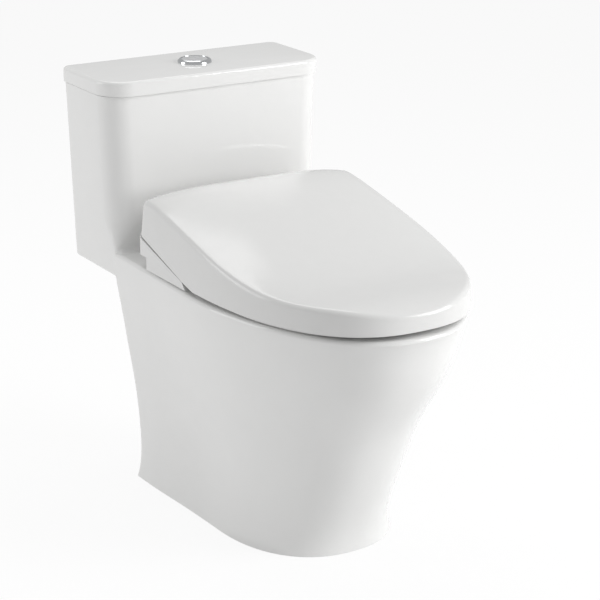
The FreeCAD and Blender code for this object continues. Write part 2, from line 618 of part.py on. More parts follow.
def make_flush_valve():
    """Flush valve under the buttons: seat, cage, lifting overflow tube and the two plungers."""
    seat = "tank_floor_z + flush_gasket"
    turned("flush_valve_gasket", ring_profile("flush_neck_radius", "flush_flange_radius", "0", "flush_gasket"),
           y="valve_setback", z="tank_floor_z")
    turned("flush_valve_base", [
        ("flush_bore", "-flush_gasket - 16"), ("flush_neck_radius", "-flush_gasket - 16"),
        ("flush_neck_radius", "0"), ("flush_flange_radius", "0"), ("flush_flange_radius", "flush_flange"),
        ("flush_bore", "flush_flange"),
    ], y="valve_setback", z=seat)

    deck = seat + " + flush_flange"
    cage = turned("flush_valve_cage", [
        ("cage_radius - cage_wall", "0"), ("cage_radius + 6", "0"), ("cage_radius + 6", "4"), ("cage_radius", "4"),
        ("cage_radius", "cage_height + cage_cap"), ("0", "cage_height + cage_cap"), ("0", "cage_height"),
        ("cage_radius - cage_wall", "cage_height"),
    ], y="valve_setback", z=deck)
    across = rectangle("-cage_window_width / 2", "cage_window_width / 2", "8", "8 + cage_window_height")
    pocket(cage, "windows_front", "XZ_Plane", None, "3 * cage_radius", [across], middle=True)
    pocket(cage, "windows_side", "YZ_Plane", None, "3 * cage_radius", [across], middle=True)
    pocket(cage, "plunger_bores", "XY_Plane", "cage_height - 1", "cage_cap + 2",
           circles=[("rod_offset", "0", "plunger_radius + plunger_gap"),
                    ("-rod_offset", "0", "plunger_radius + plunger_gap")])

    lift = deck + " + plunger_gap"
    turned("valve_seal", ring_profile("stem_bore", "seal_radius", "0", "seal_thickness"), y="valve_setback", z=lift)
    turned("valve_stem", [
        ("stem_bore", "seal_thickness"), ("seal_radius", "seal_thickness"), ("seal_radius", "seal_thickness + 3"),
        ("stem_radius", "seal_thickness + 7"), ("stem_radius", "stem_height"), ("stem_bore", "stem_height"),
    ], y="valve_setback", z=lift)
    for name, sign in (("full_plunger", "-"), ("half_plunger", "")):
        turned(name, [
            ("0", "0"), ("plunger_radius", "0"), ("plunger_radius", "plunger_length"), ("0", "plunger_length"),
        ], x=sign + "rod_offset", y="valve_setback", z=deck + " + cage_height")


def make_fill_valve():
    """Float-operated fill valve, with the threaded shank that takes the supply hose."""
    place = {"x": "-(tank_width_top / 2 - fill_side_gap)", "y": "valve_setback"}
    floor = "tank_base + well_floor_wall"
    turned("fill_valve_gasket", ring_profile("shank_collar_radius", "fill_flange_radius + 2", "0", "fill_gasket"),
           z=floor, **place)
    bottom = "-fill_gasket - well_floor_wall - shank_drop"
    nut_end = "-fill_gasket - well_floor_wall - fill_nut_height - 2"
    turned("fill_valve_body", [
        ("4", bottom), ("shank_radius", bottom), ("shank_radius", nut_end), ("shank_collar_radius", nut_end),
        ("shank_collar_radius", "0"), ("fill_flange_radius", "0"),
        ("fill_flange_radius", "fill_flange"), ("column_radius", "fill_flange"), ("column_radius", "column_height"),
        ("fill_head_radius", "column_height + 6"), ("fill_head_radius", "column_height + fill_head_height"),
        ("4", "column_height + fill_head_height"),
    ], z=floor + " + fill_gasket", **place)
    turned("fill_valve_cap", [
        ("0", "0"), ("fill_head_radius + 2", "0"), ("fill_head_radius + 2", "fill_cap_height - 4"),
        ("fill_head_radius - 4", "fill_cap_height"), ("0", "fill_cap_height"),
    ], z=floor + " + fill_gasket + column_height + fill_head_height", **place)
    turned("fill_valve_float", ring_profile("column_radius + float_gap", "float_radius", "0", "float_height"),
           z=floor + " + fill_gasket + float_rest", **place)
    turned("fill_valve_nut", ring_profile("shank_collar_radius", "fill_nut_radius", "-fill_nut_height", "0"),
           z="tank_base", **place)

    head = D.tank_base + D.well_floor_wall + D.fill_gasket + D.column_height + D.fill_head_height / 2
    cap = D.tank_floor_z + D.flush_gasket + D.flush_flange + D.cage_height + D.cage_cap / 2
    start = Vector(-fill_offset() + D.fill_head_radius, D.valve_setback, head)
    end = Vector(-D.cage_radius, D.valve_setback, cap)
    middle = (start.x + end.x) / 2
    path = rounded_path([start, Vector(middle, start.y, start.z), Vector(middle, end.y, end.z), end],
                        [min(D.refill_bend, abs(start.z - end.z) / 2.2)] * 2)
    piece("refill_tube", tube_solid(path, D.refill_radius, start, Vector(1, 0, 0)))


# ---------------------------------------------------------------- fixing on the deck

def make_deck_fixing():
    """Slide-on plate, with two bolts through rubber bushings in the ceramic deck."""
    plate = new_body("base_plate")
    outline = rectangle("-plate_half_width", "plate_half_width", "plate_front", "plate_back")
    pad(plate, "plate", "XY_Plane", "rim_top", "plate_thickness", [outline],
        [("bolt_spacing / 2", "bolt_setback", "bolt_radius + 0.4"),
         ("-bolt_spacing / 2", "bolt_setback", "bolt_radius + 0.4")])
    for side, sign in (("left", "-"), ("right", "")):
        place = {"x": sign + "bolt_spacing / 2", "y": "bolt_setback"}
        turned("mounting_bolt_" + side, [
            ("0", "-bolt_length"), ("bolt_radius", "-bolt_length"), ("bolt_radius", "0"), ("bolt_head_radius", "0"),
            ("bolt_head_radius - 1", "bolt_head"), ("0", "bolt_head"),
        ], z="rim_top + plate_thickness", **place)
        turned("bolt_bushing_" + side, [
            ("bolt_radius", "-bushing_flange"), ("bushing_flange_radius", "-bushing_flange"),
            ("bushing_flange_radius", "0"), ("bushing_radius", "0"), ("bushing_radius", "ceramic_wall"),
            ("bolt_radius", "ceramic_wall"),
        ], z="rim_top - ceramic_wall", **place)
        turned("wing_nut_" + side, [
            ("bolt_radius", "-wing_nut_height"), ("wing_nut_radius - 3", "-wing_nut_height"),
            ("wing_nut_radius", "0"), ("bolt_radius", "0"),
        ], z="rim_top - ceramic_wall - bushing_flange", **place)


# ---------------------------------------------------------------- seat unit

def seam_z(y):
    """Height of the seam between the unit's side and the lid's side, as a formula of Y."""
    return "seam_low_z + (%s + seam_low_y) * seam_slope" % y


def round_upright_edges(body, name, radius, y):
    """Rounds the two upright edges at the body's back corners."""
    DOC.recompute()
    tip = body.Tip
    half = D.unit_half_width
    names = []
    for i, edge in enumerate(tip.Shape.Edges, start=1):
        box = edge.BoundBox
        upright = box.XLength < 0.01 and box.YLength < 0.01 and box.ZLength > 1
        if upright and abs(abs(box.XMin) - half) < 0.01 and abs(box.YMax - y) < 0.01:
            names.append("Edge%d" % i)
    fillet = body.newObject("PartDesign::Fillet", name)
    fillet.Base = (tip, names)
    fillet.setExpression("Radius", formula(radius))


def make_unit_case():
    """Lower tray and upper case of the seat unit."""
    tray = new_body("unit_tray")
    half = "unit_half_width"
    plan = [
        ("-" + half, "-arm_front"), ("-arm_inside", "-arm_front"), ("-arm_inside", "unit_front"),
        ("arm_inside", "unit_front"), ("arm_inside", "-arm_front"), (half, "-arm_front"),
        (half, "unit_low_back"), ("-" + half, "unit_low_back"),
    ]
    pad(tray, "tray", "XY_Plane", "unit_bottom", "unit_split - unit_bottom", [plan])
    seam = [("-arm_front - 1", seam_z("-arm_front - 1")), ("unit_low_back", seam_z("unit_low_back")),
            ("-arm_front - 1", seam_z("unit_low_back"))]
    pocket(tray, "seam_slope", "YZ_Plane", None, "3 * unit_half_width", [seam], middle=True)
    nose = [("-arm_front", "unit_bottom"), ("-seam_low_y", seam_z("-seam_low_y")),
            ("-arm_front - 1", seam_z("-seam_low_y")), ("-arm_front - 1", "unit_bottom")]
    pocket(tray, "arm_noses", "YZ_Plane", None, "3 * unit_half_width", [nose], middle=True)
    inner = rectangle("-arm_inside + case_wall", "arm_inside - case_wall", "unit_front + case_wall",
                      "unit_low_back - case_wall")
    pocket(tray, "inside", "XY_Plane", "tray_floor", "unit_split - tray_floor + 1", [inner])
    rail = rectangle("-plate_half_width - slide_gap", "plate_half_width + slide_gap",
                     "plate_front - slide_gap", "unit_low_back + 1")
    pocket(tray, "plate_pocket", "XY_Plane", "unit_bottom - 1",
           "rim_top + plate_thickness + slide_gap - unit_bottom + 1", [rail])
    slot = rectangle("-wand_slot", "wand_slot", "unit_front + case_wall", "unit_low_back + 1")
    pocket(tray, "wand_slot", "XY_Plane", "unit_bottom - 1", "unit_split - unit_bottom + 2", [slot])
    button = rectangle("release_y - release_half_length - release_gap",
                       "release_y + release_half_length + release_gap",
                       "release_z - release_half_height - release_gap",
                       "release_z + release_half_height + release_gap")
    pocket(tray, "release_pocket", "YZ_Plane", "unit_half_width - release_depth - 4", "release_depth + 5", [button])

    case = new_body("unit_case")
    low = "unit_split"
    hump = [("unit_front", low), ("unit_front", "hump_front_top"), ("unit_front + 10", "hump_front_top + 7"),
            ("hump_back_y", "hump_top"), ("hump_back_y + 8", "rear_deck"), ("unit_back", "rear_deck"),
            ("unit_back", low)]
    wall = "case_wall"
    pad(case, "hump", "YZ_Plane", None, "2 * hump_half_width", [hump], middle=True)
    shoulder = [("unit_front", low), ("unit_front", "shoulder_top"), ("unit_back - case_wall", "shoulder_top"),
                ("unit_back - case_wall", "rear_deck"), ("unit_back", "rear_deck"), ("unit_back", low)]
    pad(case, "shoulders", "YZ_Plane", None, "2 * unit_half_width", [shoulder], middle=True)
    rise = "(unit_split - seam_low_z) / seam_slope - seam_low_y"
    fairing = [(rise, low), ("unit_back", seam_z("unit_back")), ("unit_back", low)]
    pad(case, "fairings", "YZ_Plane", None, "2 * unit_half_width", [fairing], middle=True)
    bay = [("-arm_inside + 2", "unit_front"), ("-hump_half_width", "unit_front"),
           ("-hump_half_width", "unit_back - case_wall"), ("-arm_inside + 2", "unit_back - case_wall")]
    mirror_bay = [("-(%s)" % u, v) for u, v in bay]
    seat_room = rectangle("-arm_inside", "arm_inside", "-arm_front", "unit_front")
    pocket(case, "seat_room", "XY_Plane", "unit_split - 1", "unit_back", [seat_room])
    pocket(case, "bays", "XY_Plane", "shoulder_top", "hinge_z - shoulder_top", [bay, mirror_bay])
    above_hump = [("hump_back_y + 8", "rear_deck"), ("unit_back - case_wall - 1", "rear_deck"),
                  ("unit_back - case_wall - 1", "rear_deck + 20"), ("hump_back_y + 8", "rear_deck + 20")]
    pocket(case, "hinge_trough", "YZ_Plane", None, "2 * arm_inside - 4", [above_hump], middle=True)
    round_upright_edges(case, "back_corners", "unit_corner_radius", D.unit_back)
    inside = [("unit_front + case_wall", "unit_split - 1"), ("unit_front + case_wall", "hump_front_top - 2"),
              ("unit_front + 12", "hump_front_top + 3.5"), ("hump_back_y - 2", "hump_top - case_wall"),
              ("hump_back_y + 6", "rear_deck - case_wall"), ("unit_back - case_wall", "rear_deck - case_wall"),
              ("unit_back - case_wall", "unit_split - 1")]
    pocket(case, "inside", "YZ_Plane", None, "2 * (hump_half_width - case_wall)", [inside], middle=True)
    for side, sign in (("left", -1), ("right", 1)):
        outer = "arm_inner_x + arm_width + hinge_gap + post_width"
        lift = "-(%s)" % outer if sign < 0 else "arm_inner_x + arm_width + hinge_gap"
        arm = [("hinge_y - 29", "hinge_z - 7"), ("hinge_y - 38", "hinge_z - 12"), ("hinge_y - 42", "shoulder_top - 1"),
               ("hinge_y - 26", "shoulder_top - 1"), ("hinge_y - 25.5", "hinge_z - 17"),
               ("hinge_y - 4", "hinge_z - 5"), ("hinge_y - 2", "hinge_z + 5")]
        pad(case, "post_" + side, "YZ_Plane", lift, "post_width", [arm])
        pad(case, "eye_" + side, "YZ_Plane", lift, "post_width", circles=[("hinge_y", "hinge_z", "knuckle_radius")])
    pocket(case, "pin_bores", "YZ_Plane", None, "2 * unit_half_width",
           circles=[("hinge_y", "hinge_z", "pin_radius")], middle=True)

    pin_length = "arm_width + 2 * hinge_gap + post_width + lid_boss_width - 2"
    for side, sign in (("left", "-"), ("right", "")):
        start = "arm_inner_x" if sign == "" else "-arm_inner_x - (%s)" % pin_length
        turned("hinge_pin_" + side, ring_profile("0", "pin_radius", "0", pin_length),
               x=start, y="hinge_y", z="hinge_z", rotation=ALONG_X)


def wand_frame(distance):
    """A point on the wand's axis, that far back from the wand's resting tip."""
    slope = math.radians(D.wand_slope)
    return Vector(0, D.unit_front + distance * math.cos(slope), D.wand_start_z + distance * math.sin(slope))


def wand_rod(radius, start, end):
    """A rod along the wand's axis."""
    low = wand_frame(start)
    return Part.makeCylinder(radius, end - start, low, wand_frame(end) - low)


def make_wand():
    """Spray wand with its tip, the guide tube that it slides in and the drive motor."""
    tip = D.wand_tip_length
    piece("nozzle_wand", wand_rod(D.wand_radius, tip, D.wand_length))
    hole = wand_frame(tip / 2)
    up = Vector(0, -math.sin(math.radians(D.wand_slope)), math.cos(math.radians(D.wand_slope)))
    jet = Part.makeCylinder(1.2, D.wand_radius + 1, hole, up)
    piece("nozzle_tip", wand_rod(D.wand_radius - 0.4, 0, tip).cut(jet))
    guide = wand_rod(D.wand_housing_radius, 3, 3 + D.wand_housing_length)
    guide = guide.cut(wand_rod(D.wand_radius + D.wand_gap, 2, D.wand_length + 2))
    ceiling = block(-60, 60, D.unit_front - 30, D.unit_back - D.case_wall, 0, D.rear_deck - D.case_wall)
    piece("nozzle_guide", guide.common(ceiling))


def inlet_elbow():
    """Brass elbow at the unit's back, with the threaded end that takes the supply hose."""
    start = Vector(D.inlet_offset, D.unit_back, D.port_height)
    corner = Vector(D.inlet_offset, D.unit_back + D.inlet_reach, D.port_height)
    neck = D.inlet_stem_radius + D.inlet_neck
    along = Vector(1, 0, 0)
    back = Vector(0, 1, 0)
    elbow = Part.makeCylinder(D.inlet_stem_radius, D.inlet_reach, start, back)
    elbow = elbow.fuse([Part.makeSphere(D.inlet_stem_radius, corner),
                        Part.makeCylinder(D.inlet_stem_radius, neck + 1, corner, along),
                        Part.makeCylinder(D.inlet_radius, D.inlet_length, corner + along * neck, along)])
    reach = neck + D.inlet_length + 1
    bores = [Part.makeCylinder(D.inlet_bore_radius, D.inlet_reach + D.inlet_bore_radius, start - back, back),
             Part.makeCylinder(D.inlet_bore_radius, reach, corner, along)]
    for bore in bores:
        elbow = elbow.cut(bore)
    return elbow


def make_unit_inside():
    """Pieces inside the seat unit, standing on the tray's floor or on the case's wall."""
    floor = D.tray_floor
    front = D.unit_front + D.case_wall
    back = D.unit_low_back - D.case_wall

    def boxed(label, x, y, z, width, depth, height):
        box = DOC.addObject("Part::Box", label)
        for prop, text in (("Length", width), ("Width", depth), ("Height", height)):
            box.setExpression(prop, formula(text))
        move(box, x, y, z)
        return keep(box, label)

    boxed("water_heater", "-wand_slot - 8 - tank_heater_width", "unit_front + case_wall + 1", "tray_floor",
          "tank_heater_width", "tank_heater_depth", "tank_heater_height")
    boxed("deodorizer", "wand_slot + 6", "unit_low_back - case_wall - filter_depth", "tray_floor",
          "filter_width", "filter_depth", "filter_height")
    boxed("control_board", "-wand_slot - 8 - board_width", "unit_back - case_wall - board_depth - 1",
          "unit_split + board_stand", "board_width", "board_depth", "board_thickness")
    boxed("dryer_duct", "wand_slot + 6 + fan_width / 2 - duct_width / 2", "unit_front + case_wall", "tray_floor",
          "duct_width", "6", "duct_height")
    fan = Part.makeCylinder(D.fan_radius, D.fan_width,
                            Vector(D.wand_slot + 6, front + 6 + D.fan_radius, floor + D.fan_radius), Vector(1, 0, 0))
    hub = Part.makeCylinder(D.fan_radius / 2, 4,
                            Vector(D.wand_slot + 5, front + 6 + D.fan_radius, floor + D.fan_radius), Vector(1, 0, 0))
    filter_box = block(D.wand_slot + 6, D.wand_slot + 6 + D.filter_width, back - D.filter_depth - 0.4, back + 1,
                       floor - 1, floor + D.filter_height + 0.4)
    piece("dryer_fan", fan.cut(hub).cut(filter_box))
    turned("inlet_valve", ring_profile("0", "solenoid_radius", "0", "solenoid_height"),
           x="wand_slot + 6 + filter_width + 4 + solenoid_radius", y="unit_front + case_wall + 2 + solenoid_radius",
           z="tray_floor")
    turned("nozzle_motor", ring_profile("0", "motor_radius", "0", "motor_length"),
           x="wand_slot - 1", y="hump_back_y + 44", z="unit_split + motor_radius + 1", rotation=ALONG_X)
    piece("water_inlet", inlet_elbow())
    turned("power_gland", [
        ("2", "0"), ("gland_radius", "0"), ("gland_radius - 2", "gland_length"), ("2", "gland_length"),
    ], x="-gland_offset", y="unit_back", z="port_height", rotation=ALONG_BACK)
    turned("drain_plug", [
        ("0", "0"), ("plug_radius", "0"), ("plug_radius", "1.5"), ("0", "1.5"),
    ], x="unit_half_width", y="plug_y", z="release_z", rotation=ALONG_X)
    release = new_body("release_button")
    face = rectangle("release_y - release_half_length", "release_y + release_half_length",
                     "release_z - release_half_height", "release_z + release_half_height")
    pad(release, "button", "YZ_Plane", "unit_half_width - release_depth", "release_depth + release_proud", [face])


# ---------------------------------------------------------------- seat

def seat_outline(z, inset):
    """Plan outline of the seat ring: a rounded nose in front, a narrower straight back."""
    half = D.seat_half_width - inset
    back_half = D.seat_back_half_width - inset
    back = D.unit_front - D.seat_back_gap - inset
    radius = D.seat_corner_radius
    lead = [Vector(back_half, back - radius, z), Vector(back_half, back - 1.5 * radius, z)]
    nose = nose_points(half, D.seat_widest, D.seat_tip - inset, 2.2, 2.35, z)
    curve = nose_curve(lead, nose)
    right = corner_arc((back_half - radius, back - radius), radius, 1, 1, z, False)
    left = corner_arc((-back_half + radius, back - radius), radius, -1, 1, z, True)
    return Part.Wire([curve, Part.Arc(*left).toShape(), Part.makeLine(left[2], right[0]), Part.Arc(*right).toShape()])


def seat_opening(z, grow):
    """Plan curve of the seat's opening."""
    return bowl_oval(z, -D.seat_opening_back + grow, -D.seat_opening_front - grow,
                     D.seat_opening_half_width + grow)


def rounded_ring(low, high, radius):
    """The seat ring with its upper edges rounded, outside and in the opening."""
    outside = [seat_outline(low, 0.0)]
    inside = [seat_opening(low - 1, 0.0)]
    for share in (0.0, 0.4, 0.7, 0.9, 0.98, 1.0):
        z = high - radius * (1 - share)
        inset = radius * (1 - math.cos(math.asin(share)))
        outside.append(seat_outline(z, inset))
        inside.append(seat_opening(z, inset))
    inside.append(seat_opening(high + 1, radius))
    return loft(outside, True).cut(loft(inside, True))


def ring_slab(low, high, outer_inset, inner_grow):
    """Flat ring with the seat's outline and opening."""
    slab = Part.Face(seat_outline(low, outer_inset)).extrude(Vector(0, 0, high - low))
    opening = Part.Face(seat_opening(low - 1, inner_grow))
    return slab.cut(opening.extrude(Vector(0, 0, high - low + 2)))


def make_seat():
    """Heated seat: lower pan, upper ring with the hinge arms, heating sheet and rubber buffers."""
    low = D.seat_bottom_z
    joint = low + D.seat_pan
    top = low + D.seat_height
    heater = ring_slab(joint - D.heater_thickness, joint, D.heater_margin, D.heater_margin)
    pan = ring_slab(low, joint, 1.5, 1.5).cut(heater)
    ring = rounded_ring(joint, top, D.seat_round)
    back = D.unit_front - D.seat_back_gap
    y = D.hinge_y
    z = D.hinge_z
    arm = [(back - 32, top - 6), (back - 30, top - 1), (y - 14, z + 4), (y, z + 6), (y + 2, z - 6),
           (back + 8, top + 6), (back - 0.5, top + 1), (back - 0.5, top - 7)]
    eye = Part.makeCylinder(D.knuckle_radius, D.arm_width, Vector(D.arm_inner_x, y, z), Vector(1, 0, 0))
    arms = both_sides(side_prism(arm, D.arm_inner_x, D.arm_inner_x + D.arm_width).fuse(eye))
    bore = Part.makeCylinder(D.pin_radius + D.pin_fit, 2 * D.unit_half_width, Vector(-D.unit_half_width, y, z),
                             Vector(1, 0, 0))
    ring = ring.fuse(arms).cut(bore)
    piece("seat_ring", ring)
    piece("seat_pan", pan)
    piece("seat_heater", heater)
    pads = []
    height = low - D.rim_top - D.seat_buffer_gap
    for x, pad_y in ((D.seat_half_width - 24, -D.rim_widest - 10), (0.42 * D.seat_half_width, -D.seat_tip + 36)):
        for sign in (-1, 1):
            pads.append(Part.makeCylinder(D.buffer_radius, height,
                                          Vector(sign * x, pad_y, D.rim_top + D.seat_buffer_gap)))
    piece("seat_buffers", Part.makeCompound(pads))


# ---------------------------------------------------------------- lid of the seat

# Y, side height and crown of the lid's upper surface, from its front edge to its back edge
LID_CAMBER = [
    (-400, 415, 5), (-340, 419, 5), (-250, 426, 6), (-160, 437, 8), (-64, 457, 11), (44, 479, 13.5),
    (88, 486.5, 14), (112, 487, 14), (126, 481, 14), (136, 463, 14), (142, 440, 13),
]


CROWN_POWER = 4.0


def lid_surface(drop, rear_drop=0.0):
    """The lid's crowned upper surface as a solid below it, lowered by drop, and by more near its rear edge."""
    half = 220.0
    rows = []
    for y, height, crown in LID_CAMBER:
        row = []
        for i in range(7):
            x = -half + 2 * half * i / 6
            z = height + crown * (1 - abs(x / D.cover_half_width) ** CROWN_POWER) - drop
            z -= rear_drop if y > D.cover_rear_start else 0
            row.append(Vector(x, y - (drop if y > D.hinge_y else 0), z))
        rows.append(row)
    surface = Part.BSplineSurface()
    surface.interpolate(rows)
    return surface.toShape().extrude(Vector(0, 0, -200))


def lid_side(inset):
    """The lid's leaning side wall as a solid."""
    def outline(z, lean):
        half = D.cover_half_width - inset - lean
        tip = D.cover_tip - inset - lean
        back = D.unit_back - inset - 0.2 * lean
        radius = D.cover_corner_radius
        lead = [Vector(half, back - radius, z), Vector(half, back - radius - 50, z)]
        curve = nose_curve(lead, nose_points(half, D.cover_widest, tip, 2.3, 2.45, z))
        right = corner_arc((half - radius, back - radius), radius, 1, 1, z, False)
        left = corner_arc((-half + radius, back - radius), radius, -1, 1, z, True)
        return Part.Wire([curve, Part.Arc(*left).toShape(), Part.makeLine(left[2], right[0]),
                          Part.Arc(*right).toShape()])
    low = D.cover_bottom - (1 if inset else 0)
    return loft([outline(low, 0.0), outline(D.cover_bottom + D.cover_draft_height, D.cover_draft)], True)


def make_lid():
    """The lid: a shell over seat and unit, with its hinge bosses and buffers."""
    outer = lid_side(0.0).common(lid_surface(0.0))
    inner = lid_side(D.cover_shell).common(lid_surface(D.cover_shell, D.cover_rear_drop))
    rim = [e for e in outer.Edges if e.BoundBox.ZMin > D.cover_bottom + 5 and e.BoundBox.XLength > 200]
    outer = outer.makeFillet(D.cover_round, rim)
    shell = outer.cut(inner)

    boss_start = D.arm_inner_x + D.arm_width + 2 * D.hinge_gap + D.post_width
    boss = Part.makeCylinder(D.lid_boss_radius, D.cover_half_width - boss_start,
                             Vector(boss_start, D.hinge_y, D.hinge_z), Vector(1, 0, 0)).common(outer)
    shell = shell.fuse(both_sides(boss))

    def seam(y):
        return D.seam_low_z + D.cover_seam_gap + (y + D.seam_low_y) * D.seam_slope

    notch = -D.arm_front - D.notch_length
    corner = -D.seam_low_y - D.cover_seam_gap
    rise = D.unit_back + 10
    below = side_prism([(notch, D.cover_bottom - 2), (notch, D.cover_bottom), (corner, seam(corner)),
                        (rise, seam(rise)), (rise, D.cover_bottom - 2)],
                       -D.cover_half_width - 5, D.cover_half_width + 5)
    rear = block(-D.arm_inside + 3, D.arm_inside - 3, D.hinge_y, D.unit_back + 5,
                 D.rear_deck - 20, D.cover_rear_edge)
    bore = Part.makeCylinder(D.pin_radius + D.pin_fit, 2 * boss_start + 2 * D.lid_boss_width,
                             Vector(-boss_start - D.lid_boss_width, D.hinge_y, D.hinge_z), Vector(1, 0, 0))
    shell = shell.cut(below).cut(rear).cut(bore)
    piece("lid_shell", shell)

    pads = []
    low = D.seat_bottom_z + D.seat_height + D.cover_buffer_gap
    for x, y in ((D.seat_opening_half_width + 34, -150.0), (62.0, -D.seat_tip + 40)):
        for sign in (-1, 1):
            pads.append(Part.makeCylinder(D.buffer_radius - 2, 40, Vector(sign * x, y, low)).common(inner))
    piece("lid_buffers", Part.makeCompound(pads))


# ---------------------------------------------------------------- build, check and write

def main():
    """Builds every sub-part, checks it and writes it to its own file."""
    make_ceramic()
    make_tank_lid()
    make_flush_valve()
    make_fill_valve()
    make_deck_fixing()
    make_unit_case()
    make_wand()
    make_unit_inside()
    make_seat()
    make_lid()
    DOC.recompute()
    for obj in DOC.Objects:
        if "Invalid" in obj.State or "Error" in obj.State:
            raise RuntimeError("failed feature: %s" % obj.Label)
    os.makedirs("parts", exist_ok=True)
    for obj in NODES:
        shape = obj.Shape
        if shape.isNull() or not shape.isValid():
            raise RuntimeError("bad shape: %s" % obj.Label)
        shape.exportStep("parts/%s.step" % obj.Label)
        print("%-22s %2d solid(s) %10.1f cm3" % (obj.Label, len(shape.Solids), shape.Volume / 1000))


main()
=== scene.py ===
"""A one-piece toilet with a heated washing seat: white glazed ceramic, gloss plastic and chrome.

The solids of the part stay as they are and get their finishes here. The small trim that a
hand or an eye comes close to (button, buffers, nozzle, threads, grilles) is modelled anew.
"""

import math

import bmesh
import bpy
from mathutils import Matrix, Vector


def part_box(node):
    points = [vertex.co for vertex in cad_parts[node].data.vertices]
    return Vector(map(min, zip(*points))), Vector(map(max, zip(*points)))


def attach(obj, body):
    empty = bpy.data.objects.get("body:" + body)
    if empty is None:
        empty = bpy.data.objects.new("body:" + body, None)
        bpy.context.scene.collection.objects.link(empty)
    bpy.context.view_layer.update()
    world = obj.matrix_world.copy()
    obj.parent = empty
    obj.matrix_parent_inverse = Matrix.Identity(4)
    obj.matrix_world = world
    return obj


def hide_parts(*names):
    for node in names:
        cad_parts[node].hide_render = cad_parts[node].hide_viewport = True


bl_info = {
    "name": "Toilet with heated seat",
    "version": (1, 0, 0),
    "blender": (4, 5, 0),
    "location": "3D View > Sidebar > Toilet",
    "description": "Finishes and fine trim of a one-piece toilet with a heated washing seat",
    "category": "Object",
}

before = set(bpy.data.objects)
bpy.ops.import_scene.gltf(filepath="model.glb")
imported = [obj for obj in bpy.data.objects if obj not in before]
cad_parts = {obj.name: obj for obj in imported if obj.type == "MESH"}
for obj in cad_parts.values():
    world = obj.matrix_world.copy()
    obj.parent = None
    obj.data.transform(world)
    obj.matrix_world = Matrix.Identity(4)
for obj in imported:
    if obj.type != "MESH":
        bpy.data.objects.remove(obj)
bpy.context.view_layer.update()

# ------------------------------------------------------------------ colours and sizes


def linear(hex_code):
    """An sRGB hex colour as linear red, green, blue and alpha."""
    channels = [int(hex_code[i : i + 2], 16) / 255 for i in (0, 2, 4)]
    return [c / 12.92 if c <= 0.04045 else ((c + 0.055) / 1.055) ** 2.4 for c in channels] + [1.0]


def colour(name, description, hex_code):
    """A colour that a user may change, with its default."""
    return bpy.props.FloatVectorProperty(
        name=name, description=description, subtype="COLOR", size=4, min=0, max=1, default=linear(hex_code)
    )


def length(name, description, metres):
    """A length that a user may change, with its default in metres."""
    return bpy.props.FloatProperty(
        name=name, description=description, unit="LENGTH", subtype="DISTANCE", min=0.0, default=metres,
        precision=5,
    )


class ToiletColours(bpy.types.PropertyGroup):
    """The colours of the finishes."""

    glaze: colour("Glaze", "White glaze over the vitreous china", "EFEFEE")
    cover_white: colour("Cover white", "Gloss polypropylene of the cover, seat and unit", "E4E4E3")
    fitting_white: colour("Fitting white", "Moulded plastic of the tank fittings", "DDDFDF")
    fitting_blue: colour("Plunger blue", "Plunger heads inside the tank", "3C6E9C")
    rubber: colour("Rubber", "Seals and gaskets", "2B2B2B")
    pad_grey: colour("Pad grey", "Soft buffers under the seat and the cover", "D3D4D2")
    chrome: colour("Chrome", "Bright plating of the button's collar", "D6D8DA")
    satin: colour("Satin chrome", "Matt plating of the button's two caps", "E6E7E8")
    steel: colour("Steel", "Hinge pins and mounting bolts", "B3B4B6")
    brass: colour("Brass", "Water inlet", "C3A15C")
    board: colour("Board", "Solder mask of the control board", "17593A")
    foil: colour("Foil", "Heating foil inside the seat", "C9C9C7")
    floor: colour("Floor", "Studio floor and wall", "FFFFFF")


class ToiletSizes(bpy.types.PropertyGroup):
    """The sizes of the fine trim and of the patterns in the finishes."""

    weld: length("Weld", "Corners of the solids closer than this are one", 0.00002)
    edge_angle: bpy.props.FloatProperty(
        name="Edge angle", description="Faces that meet at more than this stay a crisp edge", unit="ROTATION",
        subtype="ANGLE", default=math.radians(28),
    )
    glaze_ripple: length("Glaze ripple", "Width of the slow waves that a fired glaze shows", 0.045)
    button_dish: length("Button dish", "Depth of the dish in the button caps", 0.0006)
    cove_radius: length("Cove radius", "Radius of the hollow curve between tank front and deck", 0.012)
    thread_pitch: length("Thread pitch", "Pitch of the half-inch pipe threads of the inlets", 0.00181)


# Widths of the patterns in the finishes, in metres, so that each one's scale is one over it.
# In the glaze, 83 mm and 3 mm.
GLAZE_POOL = 1 / 12
GLAZE_PIN = 1 / 330
# In moulded plastic, 20 mm, 0.9 mm and 25 mm.
MOULD_PEEL = 0.02
MOULD_GRAIN = 0.0009
MOULD_FLOW = 0.025
# In rubber, 11 mm and 0.7 mm.
RUBBER_BLOOM = 1 / 90
RUBBER_GRAIN = 1 / 1400
# In metal, 6 mm and 0.4 mm, and on the board, 5.6 mm.
POLISH_SMEAR = 0.00625
TURNED_LINE = 0.0004
COPPER_RUN = 1 / 180

# ------------------------------------------------------------------ finishes


def add_node(material, kind, settings=None, links=None):
    """Adds one shader node, sets its values and links its inputs."""
    made = material.node_tree.nodes.new(kind)
    for key, value in (settings or {}).items():
        if isinstance(key, int) or key in made.inputs:
            made.inputs[key].default_value = value
        else:
            setattr(made, key, value)
    for key, source in (links or {}).items():
        material.node_tree.links.new(source, made.inputs[key])
    return made


def new_material(name, base, roughness, ior=1.5, metallic=0.0):
    """A material with one principled shader, and that shader."""
    made = bpy.data.materials.new(name)
    made.use_nodes = True
    shader = made.node_tree.nodes["Principled BSDF"]
    shader.inputs["Base Color"].default_value = base
    shader.inputs["Roughness"].default_value = roughness
    shader.inputs["IOR"].default_value = ior
    shader.inputs["Metallic"].default_value = metallic
    return made, shader


def shade(base, factor):
    """The same colour, darker or lighter."""
    return [min(1.0, c * factor) for c in base[:3]] + [1.0]


